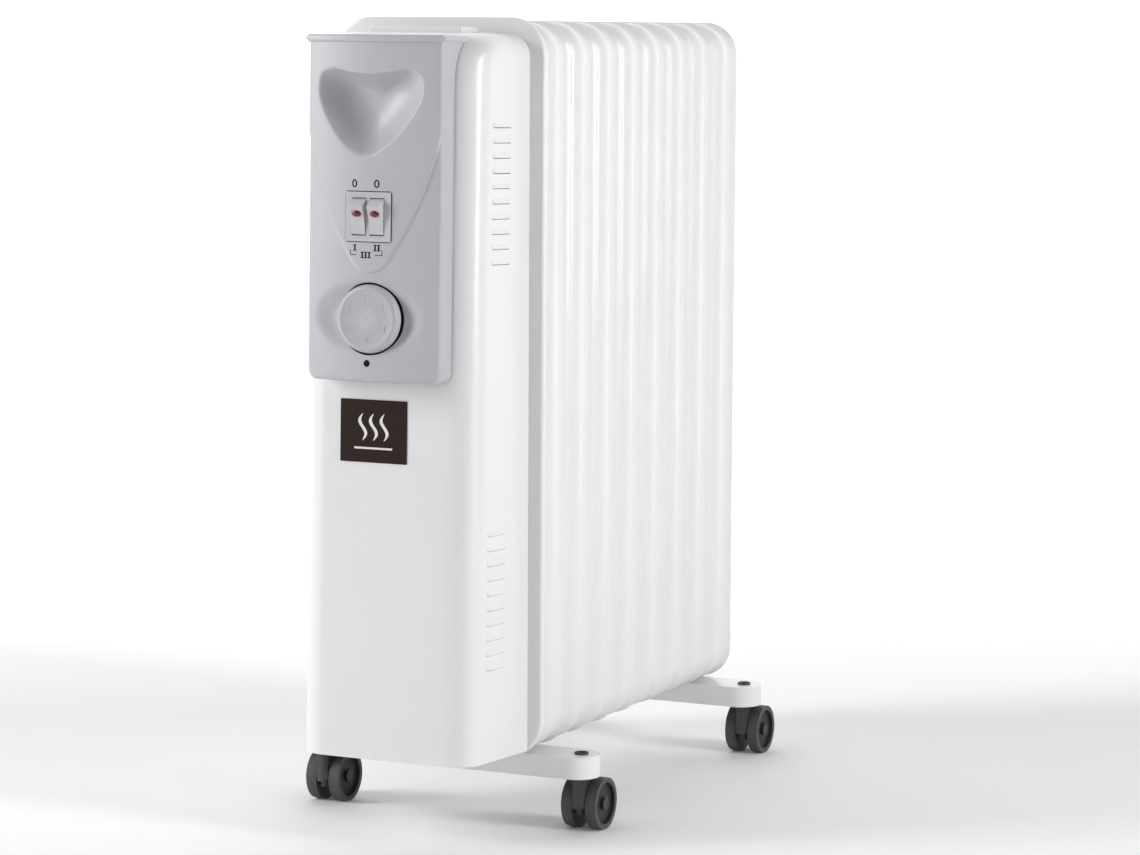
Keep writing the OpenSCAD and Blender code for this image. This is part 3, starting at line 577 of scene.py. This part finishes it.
SCOOP_CURVE, SCOOP_SOFT = 2.4, 0.9
spokes = through(SCOOP) - np.array(DEEPEST)
order = np.argsort(np.arctan2(spokes[:, 1], spokes[:, 0]))
SCOOP_ANGLE = np.arctan2(spokes[:, 1], spokes[:, 0])[order]
SCOOP_REACH = np.hypot(spokes[:, 0], spokes[:, 1])[order]
SCOOP_ANGLE = np.concatenate([SCOOP_ANGLE[-3:] - 2 * math.pi, SCOOP_ANGLE, SCOOP_ANGLE[:3] + 2 * math.pi])
SCOOP_REACH = np.concatenate([SCOOP_REACH[-3:], SCOOP_REACH, SCOOP_REACH[:3]])


def face_depth(x, z, edge=None):
    """Y of the housing's front at each point, with the plate, dish and grip recess."""
    y = FACE_Y + FACE_R - np.sqrt(FACE_R ** 2 - x ** 2)
    d, _ = segment_distance(x, z, V_EDGE, closed=False)
    inside = (z > TIP_Z) & (np.abs(x) < v_half(z))
    d = np.where(inside, d, -d)
    y = y - PLATE_H * smoothstep((d + 0.6) / 1.3)
    e = np.hypot((x + 1.5) / 48.0, (z - 399.2) / 29.5)
    y = y + DISH_H * (1 - smoothstep((e - 0.6) / 0.4)) * (1 - smoothstep((d + 0.6) / 1.3))
    across, rise = x - DEEPEST[0], z - DEEPEST[1]
    rim = np.interp(np.arctan2(rise, across), SCOOP_ANGLE, SCOOP_REACH)
    t = np.minimum(np.hypot(across, rise) / rim, 3)
    sink = SCOOP_H * (1 - t ** SCOOP_CURVE)
    y = y + 0.5 * (sink + np.sqrt(sink * sink + SCOOP_SOFT ** 2))
    if edge is not None:
        inner = np.clip(ROLL - edge, 0, ROLL)
        y = y + ROLL - np.sqrt(np.maximum(ROLL ** 2 - inner ** 2, 0))
    return y


def seam_y(z):
    """How far back the housing's side reaches: it follows the box's rounded brow."""
    over = np.clip(z - (BOX_Z1 - BROW_R), 0, BROW_R)
    return -BOX_DEPTH + BROW_R - np.sqrt(BROW_R ** 2 - over ** 2) - 0.9


def make_housing():
    zs = np.unique(np.concatenate([HOUSE_Z0 + HOUSE_R * (1 - np.cos(np.linspace(0, math.pi / 2, 12))),
                                   HOUSE_Z0 + ROLL * np.linspace(0, 1, 8) ** 1.5,
                                   np.arange(HOUSE_Z0 + HOUSE_R, HOUSE_Z1 - 4, 0.85)]))
    near = zs - HOUSE_Z0
    half = HALF - np.where(near < HOUSE_R, HOUSE_R - np.sqrt(np.maximum(HOUSE_R ** 2 - (HOUSE_R - near) ** 2, 0)), 0)
    mid = np.linspace(-1 + 0.09, 1 - 0.09, 125)
    side = 1 - 0.09 * np.linspace(0, 1, 11)[:-1] ** 1.5
    t = np.concatenate([-side, mid, side[::-1]])
    x = t[None, :] * half[:, None]
    z = np.repeat(zs[:, None], len(t), axis=1)
    border = [(s * (HALF - HOUSE_R) + s * HOUSE_R * math.sin(a), HOUSE_Z0 + HOUSE_R - HOUSE_R * math.cos(a))
              for s in (1,) for a in np.radians(np.arange(0, 91, 6))]
    border = [(-bx, bz) for bx, bz in border[::-1]] + border
    border = [(-HALF, 700.0)] + border + [(HALF, 700.0)]
    edge, _ = segment_distance(x, z, border, closed=False)
    y = face_depth(x, z, edge)
    rows, cols = x.shape
    front = np.stack([x, y, z], axis=2).reshape(-1, 3)
    faces = grid(rows, cols)
    # skirt back to the seam, following the outline from the upper left round the bottom
    loop = [r * cols for r in range(rows - 1, 0, -1)] + list(range(cols)) + [r * cols + cols - 1 for r in range(1, rows)]
    pts = [front]
    count = rows * cols
    previous = loop
    for k in (0.25, 0.6, 0.94, 1.0):
        ring = front[loop].copy()
        ring[:, 1] = ring[:, 1] + (seam_y(ring[:, 2]) - ring[:, 1]) * k
        if k == 1.0:
            ring[:, 0] -= np.sign(ring[:, 0]) * 0.35 * (np.abs(ring[:, 0]) > HALF - 1)
            ring[:, 2] += 0.35 * (ring[:, 2] < HOUSE_Z0 + 0.2)
        current = list(range(count, count + len(loop)))
        for a in range(len(loop) - 1):
            faces.append((previous[a], current[a], current[a + 1], previous[a + 1]))
        pts.append(ring)
        count += len(loop)
        previous = current
    inner = pts[-1].copy()
    inner[:, 0] *= 0.955
    inner[:, 2] = np.where(inner[:, 2] < HOUSE_Z0 + 1, inner[:, 2] + 2.2, inner[:, 2])
    current = list(range(count, count + len(loop)))
    for a in range(len(loop) - 1):
        faces.append((previous[a], current[a], current[a + 1], previous[a + 1]))
    pts.append(inner)
    p = np.concatenate(pts)
    # an opening for the switch, which stays covered by its own piece
    sx0, sx1 = (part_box("switch_body")[k][0] / MM for k in (0, 1))
    centre_x = (sx0 + sx1) / 2
    pin = unlean(JOINTS["rocker_left_tip"]["pos_m"])
    hole = 16.4
    keep = []
    for f in faces:
        c = p[list(f)].mean(axis=0)
        if c[1] < -95 and abs(c[0] - centre_x) < hole and abs(c[2] - pin[2]) < hole:
            continue
        keep.append(f)
    build("housing_front", p, keep, GREY, "grey_plastic", lean=True, smooth=45, stands_for=("control_housing",))
    # lip along the top
    stations = np.linspace(-HALF - 1.6, HALF + 1.6, 61)
    pts, n = [], 0
    r = 1.8
    for x0 in stations:
        shrink = min(1.0, math.sqrt(max(1 - ((abs(x0) - HALF + 0.2) / 1.85) ** 2, 0.02)) if abs(x0) > HALF - 0.2 else 1.0)
        yf = FACE_Y + FACE_R - math.sqrt(FACE_R ** 2 - x0 ** 2) - PLATE_H - 1.6
        zc, hz = HOUSE_Z1 - 2.8, 2.8 * shrink
        loop = [(yf + r * (1 - math.sin(a)), zc - hz + r * shrink * (1 - math.cos(a))) for a in np.radians(np.arange(0, 91, 15))]
        loop += [(yf + r * (1 - math.cos(a)), zc + hz - r * shrink * (1 - math.sin(a))) for a in np.radians(np.arange(0, 91, 15))]
        back = float(seam_y(np.array(HOUSE_Z1 - 1.0))) + 2.0
        loop += [(back, zc + hz), (back, zc - hz)]
        n = len(loop)
        pts += [(x0, yy, zz) for yy, zz in loop]
    faces = grid(len(stations), n, close_cols=True, flip=True)
    faces.append(tuple(range(n)))
    faces.append(tuple(range(len(pts) - 1, len(pts) - 1 - n, -1)))
    build("housing_lip", pts, faces, GREY, "grey_plastic", lean=True, smooth=40)
    # painted shadow: a dark strip in the seam between housing and box, where the gap lies in shade
    ring = []
    for k, (grow, y0) in enumerate(((-1.2, 0.0), (-1.2, 1.6))):
        for i in loop_points(border, grow):
            ring.append((i[0], float(seam_y(np.array(i[1]))) - 0.3 + y0, i[1]))
    half_n = len(ring) // 2
    build("housing_seam_shadow", ring, grid(2, half_n), GAP, "dark_plastic", lean=True)


def loop_points(border, grow):
    """The housing's outline, moved outward, with its sides cut into short runs."""
    pts = []
    line = [(x, min(z, HOUSE_Z1 - 4)) for x, z in border]
    cx, cz = 0.0, (HOUSE_Z0 + HOUSE_Z1) / 2
    for (ax, az), (bx, bz) in zip(line, line[1:]):
        steps = max(int(math.hypot(bx - ax, bz - az) // 3), 1)
        for k in range(steps):
            pts.append((ax + (bx - ax) * k / steps, az + (bz - az) * k / steps))
    pts.append(line[-1])
    return [(x + (grow if x > 0 else -grow) * (abs(x) > 40), z - grow * (z < HOUSE_Z0 + 3)) for x, z in pts]


make_housing()

# ---------------------------------------------------------------- prints and painted shadow gaps

def text_mesh(text, size, centre, material, name, lift=0.12, serif=False, thick=0.06, body="heater", on_face=True,
              y_plane=0.0, slot="dark_plastic", bold=0.0):
    curve = bpy.data.curves.new(name, "FONT")
    curve.body = text
    curve.size = size
    curve.align_x = "CENTER"
    curve.align_y = "CENTER"
    curve.offset = bold
    curve.resolution_u = 6
    temp = bpy.data.objects.new(name + "_curve", curve)
    bpy.context.scene.collection.objects.link(temp)
    dg = bpy.context.evaluated_depsgraph_get()
    mesh = bpy.data.meshes.new_from_object(temp.evaluated_get(dg), depsgraph=dg)
    v = np.array([vert.co[:] for vert in mesh.vertices])
    faces = [tuple(p.vertices) for p in mesh.polygons]
    bpy.data.objects.remove(temp)
    cx, cz = (v[:, 0].min() + v[:, 0].max()) / 2, (v[:, 1].min() + v[:, 1].max()) / 2
    x, z = v[:, 0] - cx + centre[0], v[:, 1] - cz + centre[1]
    return x, z, faces


def print_shapes(name, shapes, material, slot, lift=0.07, height=None):
    """Flat marks laid on the housing's face: each shape is (x array, z array, faces)."""
    parts = []
    for x, z, faces in shapes:
        y = (face_depth(x, z) if height is None else np.full(x.shape, height)) - lift
        top = np.stack([x, y, z], axis=1)
        under = np.stack([x, y + lift + 0.05, z], axis=1)
        n = len(x)
        edges = {}
        for f in faces:
            for a, b in zip(f, f[1:] + f[:1]):
                edges[(a, b)] = (b, a) not in edges and edges.setdefault((a, b), True)
        used = {(a, b) for f in faces for a, b in zip(f, f[1:] + f[:1])}
        rim = [(a, b) for a, b in used if (b, a) not in used]
        fs = [f for f in faces] + [tuple(i + n for i in f[::-1]) for f in faces]
        fs += [(b, a, a + n, b + n) for a, b in rim]
        parts.append((np.concatenate([top, under]), fs))
    p, f = merge(parts)
    return build(name, p, f, material, slot, lean=True, smooth=30)


def bar(x0, x1, z0, z1):
    return np.array([x0, x1, x1, x0], dtype=float), np.array([z0, z0, z1, z1], dtype=float), [(0, 1, 2, 3)]


def disc(cx, cz, r, steps=36):
    a = np.linspace(0, 2 * math.pi, steps, endpoint=False)
    return cx + r * np.cos(a), cz + r * np.sin(a), [tuple(range(steps))]


def roman(count, cx, cz, h=5.2, w=1.3, serif=3.0, step=2.9):
    """Serif strokes of a Roman numeral."""
    marks = []
    for k in range(count):
        x = cx + (k - (count - 1) / 2) * step
        marks.append(bar(x - w / 2, x + w / 2, cz - h / 2, cz + h / 2))
    wide = (count - 1) * step / 2 + serif / 2
    marks.append(bar(cx - wide, cx + wide, cz + h / 2 - 0.6, cz + h / 2))
    marks.append(bar(cx - wide, cx + wide, cz - h / 2, cz - h / 2 + 0.6))
    return marks


def ring_shape(cx, cz, rx, rz, w, steps=40):
    a = np.linspace(0, 2 * math.pi, steps, endpoint=False)
    x = np.concatenate([cx + rx * np.cos(a), cx + (rx - w) * np.cos(a)])
    z = np.concatenate([cz + rz * np.sin(a), cz + (rz - w * 0.8) * np.sin(a)])
    faces = [(i, (i + 1) % steps, (i + 1) % steps + steps, i + steps) for i in range(steps)]
    return x, z, faces


def dense(line, steps=10):
    """A closed line with each run cut into equal steps."""
    return [tuple(np.array(a) + (np.array(b) - np.array(a)) * k / steps)
            for a, b in zip(line, line[1:] + line[:1]) for k in range(steps)]


def frame_shape(cx, cz, half_x, half_z, w, r, steps=4):
    """A flat frame with rounded corners."""
    outer, inner = [], []
    for sx, sz, start in ((1, -1, -90), (1, 1, 0), (-1, 1, 90), (-1, -1, 180)):
        for a in np.radians(np.linspace(start, start + 90, steps)):
            for line, shrink in ((outer, 0.0), (inner, w)):
                q = max(r - shrink, 0.1)
                line.append((cx + sx * (half_x - shrink - q) + q * math.cos(a), cz + sz * (half_z - shrink - q) + q * math.sin(a)))
    outer, inner = dense(outer), dense(inner)
    n = len(outer)
    pts = np.array(outer + inner)
    return pts[:, 0], pts[:, 1], [(i, (i + 1) % n, (i + 1) % n + n, i + n) for i in range(n)]


def make_prints_and_shadow_gaps():
    marks = [ring_shape(-12.3, 497.9, 2.2, 3.0, 1.15), ring_shape(6.2, 497.9, 2.2, 3.0, 1.15)]
    marks += roman(1, -11.6, 450.9, 4.6)
    marks += roman(2, 6.8, 451.0, 4.6)
    marks += roman(3, -2.4, 445.7, 4.6)
    marks += [bar(-15.6, -15.1, 445.6, 449.4), bar(-15.6, -10.2, 445.4, 445.9)]
    marks += [bar(10.7, 11.2, 445.6, 449.2), bar(5.0, 11.2, 445.4, 445.9)]
    print_shapes("switch_markings", marks, INK, "dark_plastic")
    print_shapes("dial_index_dot", [disc(-1.3, 366.0, 2.6)], INK, "dark_plastic")
    low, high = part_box("switch_body")
    cx, cz = (low[0] + high[0]) / 2 / MM, unlean(JOINTS["rocker_left_tip"]["pos_m"])[2]
    half_x, half_z = (high[0] - low[0]) / 2 / MM, BEZEL_H / 2
    # Painted shadow: a flat dark frame round the switch bezel stands in for the shade in its gap.
    print_shapes("bezel_shadow_gap", [frame_shape(cx, cz, half_x + 0.75, half_z + 0.65, 1.4, 2.2)], GAP, "dark_plastic", lift=0.05)
    # Painted shadow: a flat dark ring round the dial stands in for the shaded gap at its base.
    print_shapes("dial_shadow_ring", [ring_shape(KNOB[0], KNOB[2], KNOB_R + 1.3, KNOB_R + 1.3, 2.4, 96)], GAP, "dark_plastic", lift=0.05)


# ---------------------------------------------------------------- knob

KNOB_R = (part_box("thermostat_knob")[1][0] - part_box("thermostat_knob")[0][0]) / 2 / MM
BEZEL_H = 36.3

make_prints_and_shadow_gaps()


def make_knob():
    profile = [(8.0, 0.3), (KNOB_R - 0.4, 0.3), (KNOB_R, 0.8), (KNOB_R - 0.1, 2.4), (KNOB_R - 0.4, 4.2), (KNOB_R - 0.9, 5.5),
               (KNOB_R - 1.6, 6.4), (KNOB_R - 2.4, 6.95), (KNOB_R - 3.2, 7.15), (KNOB_R - 4.2, 7.15), (KNOB_R - 4.9, 7.0),
               (KNOB_R - 5.6, 6.85), (12.0, 6.95), (4.0, 7.05), (0.01, 7.07)]
    parts = [lathe(profile, 128)]
    for k in range(48):
        a = 2 * math.pi * k / 48
        r0, r1, w = KNOB_R - 4.3, KNOB_R - 2.3, 0.32
        ca, sa = math.cos(a), math.sin(a)
        lo, hi = 6.4, 7.3
        pts = []
        for h, g in ((lo, 1.0), (hi, 0.6)):
            for rr, ww in ((r0, w), (r1, w)):
                for s in (-1, 1):
                    pts.append((rr * ca - s * ww * g * sa, -(h if rr == r0 or h == lo else h - 0.35), rr * sa + s * ww * g * ca))
        parts.append((pts, [(0, 1, 3, 2), (4, 6, 7, 5), (0, 2, 6, 4), (1, 5, 7, 3), (0, 4, 5, 1), (2, 3, 7, 6)]))
    p, f = merge(parts)
    p = p + np.array([KNOB[0], KNOB[1] - 0.3, KNOB[2]])
    build("dial", p, f, KNOB_GREY, "grey_plastic", body="knob", lean=True, smooth=40, stands_for=("thermostat_knob",))
    parts = []
    for text, angle in (("1", 97), ("2", 35), ("3", -25), ("4", -90), ("5", -150), ("6", 155)):
        a = math.radians(angle)
        cx, cz = 15.6 * math.cos(a), 15.6 * math.sin(a)
        x, z, faces = text_mesh(text, 6.4, (cx, cz), None, "digit")
        n = len(x)
        used = {(i, j) for f_ in faces for i, j in zip(f_, f_[1:] + f_[:1])}
        top = np.stack([x, np.full(n, -7.2), z], axis=1)
        low = np.stack([x, np.full(n, -6.7), z], axis=1)
        fs = list(faces) + [tuple(i + n for i in f_[::-1]) for f_ in faces]
        fs += [(j, i, i + n, j + n) for i, j in used if (j, i) not in used]
        parts.append((np.concatenate([top, low]), fs))
    p, f = merge(parts)
    p = p + np.array([KNOB[0], KNOB[1] - 0.3, KNOB[2]])
    build("dial_digits", p, f, KNOB_GREY, "grey_plastic", body="knob", lean=True, smooth=30)

make_knob()

# ---------------------------------------------------------------- lenses, badge

LENS_HALF, LENS_AT, LENS_OUT = 1.7, 4.9, 8.73
TILT = math.radians(JOINTS["rocker_left_tip"]["range_deg"][1] / 2) - LEAN


def oval(profile, half, steps=48):
    """Rings of (radius, height), drawn out sideways by a half length, height towards -Y."""
    reach = profile[-1][0]
    pts, faces = lathe(profile, steps)
    return pts * np.array([(reach + half) / reach, 1, 1]), faces


def make_lenses():
    turn = np.array(Matrix.Rotation(TILT, 3, "X"))
    dome = [(0.01, 1.1), (0.7, 1.07), (1.3, 0.95), (1.8, 0.75), (2.15, 0.45), (2.3, 0.1), (2.35, -0.6)]
    collar = [(2.3, -0.4), (2.38, 0.16), (2.75, 0.2), (3.0, 0.05), (3.02, -0.4)]
    for side in ("left", "right"):
        pin = np.array(JOINTS[f"rocker_{side}_tip"]["pos_m"])
        base = pin + turn @ (np.array([0, -LENS_OUT, LENS_AT]) * MM)
        base[0] = (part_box(f"lens_{side}")[0][0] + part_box(f"lens_{side}")[1][0]) / 2
        for part, profile, mat in (("dome", dome, RED), ("surround", collar, PINK)):
            pts, faces = oval(profile, LENS_HALF)
            build(f"lens_{side}_{part}", (pts * MM) @ turn.T + base, faces, mat, "lens_red",
                  body=f"switch_{side}", metres=True, smooth=40, stands_for=(f"lens_{side}",) if mat is RED else ())


make_lenses()


def make_badge():
    lo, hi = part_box("name_badge")
    x0, x1, z0, z1 = lo[0] / MM, hi[0] / MM, lo[2] / MM, hi[2] / MM
    part = cuboid(x0, x1, -BOX_DEPTH - 0.8, -BOX_DEPTH + 0.05, z0, z1)
    bevelled(build("plain_badge", *part, LABEL, "label_brown", lean=True, stands_for=("name_badge",)), 0.5, 3)
    waves = []
    cx, cz = (x0 + x1) / 2, (z0 + z1) / 2 + 2
    for k in (-1, 0, 1):
        s = np.linspace(0, 1, 25)
        wx = cx + k * 9 + 2.6 * np.sin(s * 2 * math.pi)
        wz = cz - 9 + 20 * s
        w = 1.5 * np.sqrt(np.clip(np.sin(s * math.pi), 0.02, 1))
        x = np.concatenate([wx - w, wx + w])
        z = np.concatenate([wz, wz])
        n = len(s)
        waves.append((x, z, [(i, i + n, i + n + 1, i + 1) for i in range(n - 1)]))
    waves.append(bar(cx - 16, cx + 16, cz - 15.5, cz - 14))
    print_shapes("badge_heat_waves", waves, LABEL_INK, "label_brown", lift=0.06, height=-BOX_DEPTH - 0.8)


make_badge()

# ---------------------------------------------------------------- carried-over nodes

CARRIED = {
    "top_header_collars": (ENAMEL, 0), "bottom_header_collars": (ENAMEL, 0), "header_caps": (ENAMEL, 0.5),
    "oil_filler_plug": (STEEL, 0.4), "heating_element": (STEEL, 0), "element_gasket": (GASKET, 0),
    "box_bottom_plate": (BOX_ENAMEL, 0), "heat_shield": (SHIELD, 0), "box_nuts": (STEEL, 0.2),
    "housing_screws": (STEEL, 0.1), "switch_body": (GREY, 0.3), "rocker_pin": (STEEL, 0),
    "rocker_left": (GREY, 0.35), "rocker_right": (GREY, 0.35), "thermostat_body": (DARK, 0.4),
    "thermostat_shaft": (STEEL, 0), "thermal_cutout": (DARK, 0.2), "cutout_clip": (STEEL, 0),
    "terminal_block": (IVORY, 0.3), "wiring": (SLEEVE, 0), "cable_grommet": (RUBBER, 0.6),
    "foot_bar_front": (BOX_ENAMEL, 1.4), "foot_bar_rear": (BOX_ENAMEL, 1.4), "foot_u_bolts": (STEEL, 0),
    "foot_wing_nuts": (STEEL, 0.4), "castor_bushes": (DARK, 0.5),
}
for corner in ("front_left", "front_right", "rear_left", "rear_right"):
    CARRIED[f"castor_fork_{corner}"] = (DARK, 0.6)
    CARRIED[f"castor_wheels_{corner}"] = (TYRE, 1.0)

for name, (material, width) in CARRIED.items():
    obj = frame["nodes"][name]
    if not obj.material_slots:
        obj.data.materials.append(material)
    for s in obj.material_slots:
        s.material = material
    obj.data.shade_smooth()
    obj.data.set_sharp_from_angle(angle=math.radians(32))
    if width:
        bevelled(obj, width, 3, 40)

# ---------------------------------------------------------------- floor, light, camera

floor_mat = finish("studio_floor", (0.93, 0.93, 0.93), (0.915, 0.915, 0.915), rough=(0.6, 0.75), grain=300,
                   grain_depth=0.00002)
# The backdrop far behind the heater is lit by itself, and the floor under and before it isn't.
tree = floor_mat.node_tree
where = tree.nodes.new("ShaderNodeTexCoord")
axes = tree.nodes.new("ShaderNodeSeparateXYZ")
far = node(tree, "ShaderNodeMapRange", From_Min=0.3, From_Max=2.0, To_Max=0.75)
tree.links.new(where.outputs["Object"], axes.inputs["Vector"])
tree.links.new(axes.outputs["Y"], far.inputs["Value"])
tree.links.new(far.outputs["Result"], tree.nodes["Principled BSDF"].inputs["Emission Strength"])
mesh = bpy.data.meshes.new("studio_floor")
sweep = [(-6.0, 0.0), (2.2, 0.0)] + [(2.2 + 1.2 * math.sin(a), 1.2 - 1.2 * math.cos(a)) for a in np.radians(np.arange(6, 91, 6))] + [(3.4, 7.0)]
pts = [(x, y, z) for y, z in sweep for x in (-7.0, 7.0)]
mesh.from_pydata(pts, [], grid(len(sweep), 2, flip=True))
mesh.materials.append(floor_mat)
mesh.shade_smooth()
floor = bpy.data.objects.new("studio_floor", mesh)
bpy.context.scene.collection.objects.link(floor)
floor.rotation_euler = (0, 0, math.radians(25))


def softbox(name, spot, aim, size, power, colour=(1, 1, 1)):
    light = bpy.data.lights.new(name, "AREA")
    light.shape = "RECTANGLE"
    light.size, light.size_y = size
    light.energy = power
    light.color = colour
    obj = bpy.data.objects.new(name, light)
    obj.location = spot
    obj.rotation_euler = (Vector(aim) - Vector(spot)).to_track_quat("-Z", "Y").to_euler()
    bpy.context.scene.collection.objects.link(obj)
    return obj


softbox("right_key", (2.4, -0.3, 1.1), (0, 0, 0.35), (0.6, 1.8), 37)
softbox("left_fill", (-2.0, -1.6, 1.2), (0, 0, 0.35), (0.8, 1.6), 49)
softbox("top_soft", (0.2, -0.3, 2.6), (0, 0, 0.2), (2.6, 2.6), 5)

world = bpy.data.worlds.new("studio")
world.use_nodes = True
world.node_tree.nodes["Background"].inputs["Color"].default_value = (1, 1, 1, 1)
world.node_tree.nodes["Background"].inputs["Strength"].default_value = 0.2
bpy.context.scene.world = world

FOCAL_PX, FRAME_W = 3525.0, 1140.0
YAW, PITCH_DOWN, ROLL_CAM = (math.radians(a) for a in (25.21, 6.44, 0.36))
STAND = (1233.0, -2382.0, 611.0)
fwd = np.array([-math.sin(YAW) * math.cos(PITCH_DOWN), math.cos(YAW) * math.cos(PITCH_DOWN), -math.sin(PITCH_DOWN)])
right = np.array([math.cos(YAW), math.sin(YAW), 0.0])
up = np.cross(right, fwd)
r_axis = right * math.cos(ROLL_CAM) + up * math.sin(ROLL_CAM)
u_axis = -right * math.sin(ROLL_CAM) + up * math.cos(ROLL_CAM)
camera = bpy.data.cameras.new("camera")
camera.sensor_width = 36.0
camera.sensor_fit = "HORIZONTAL"
camera.lens = 36.0 * FOCAL_PX / FRAME_W
camera.clip_start = 0.05
cam = bpy.data.objects.new("camera", camera)
where = place([STAND])[0]
cam.matrix_world = Matrix([[r_axis[k], u_axis[k], -fwd[k], where[k]] for k in range(3)] + [[0, 0, 0, 1]])
bpy.context.scene.collection.objects.link(cam)
bpy.context.scene.camera = cam
bpy.context.scene.view_settings.view_transform = "Standard"
bpy.context.scene.view_settings.look = "None"
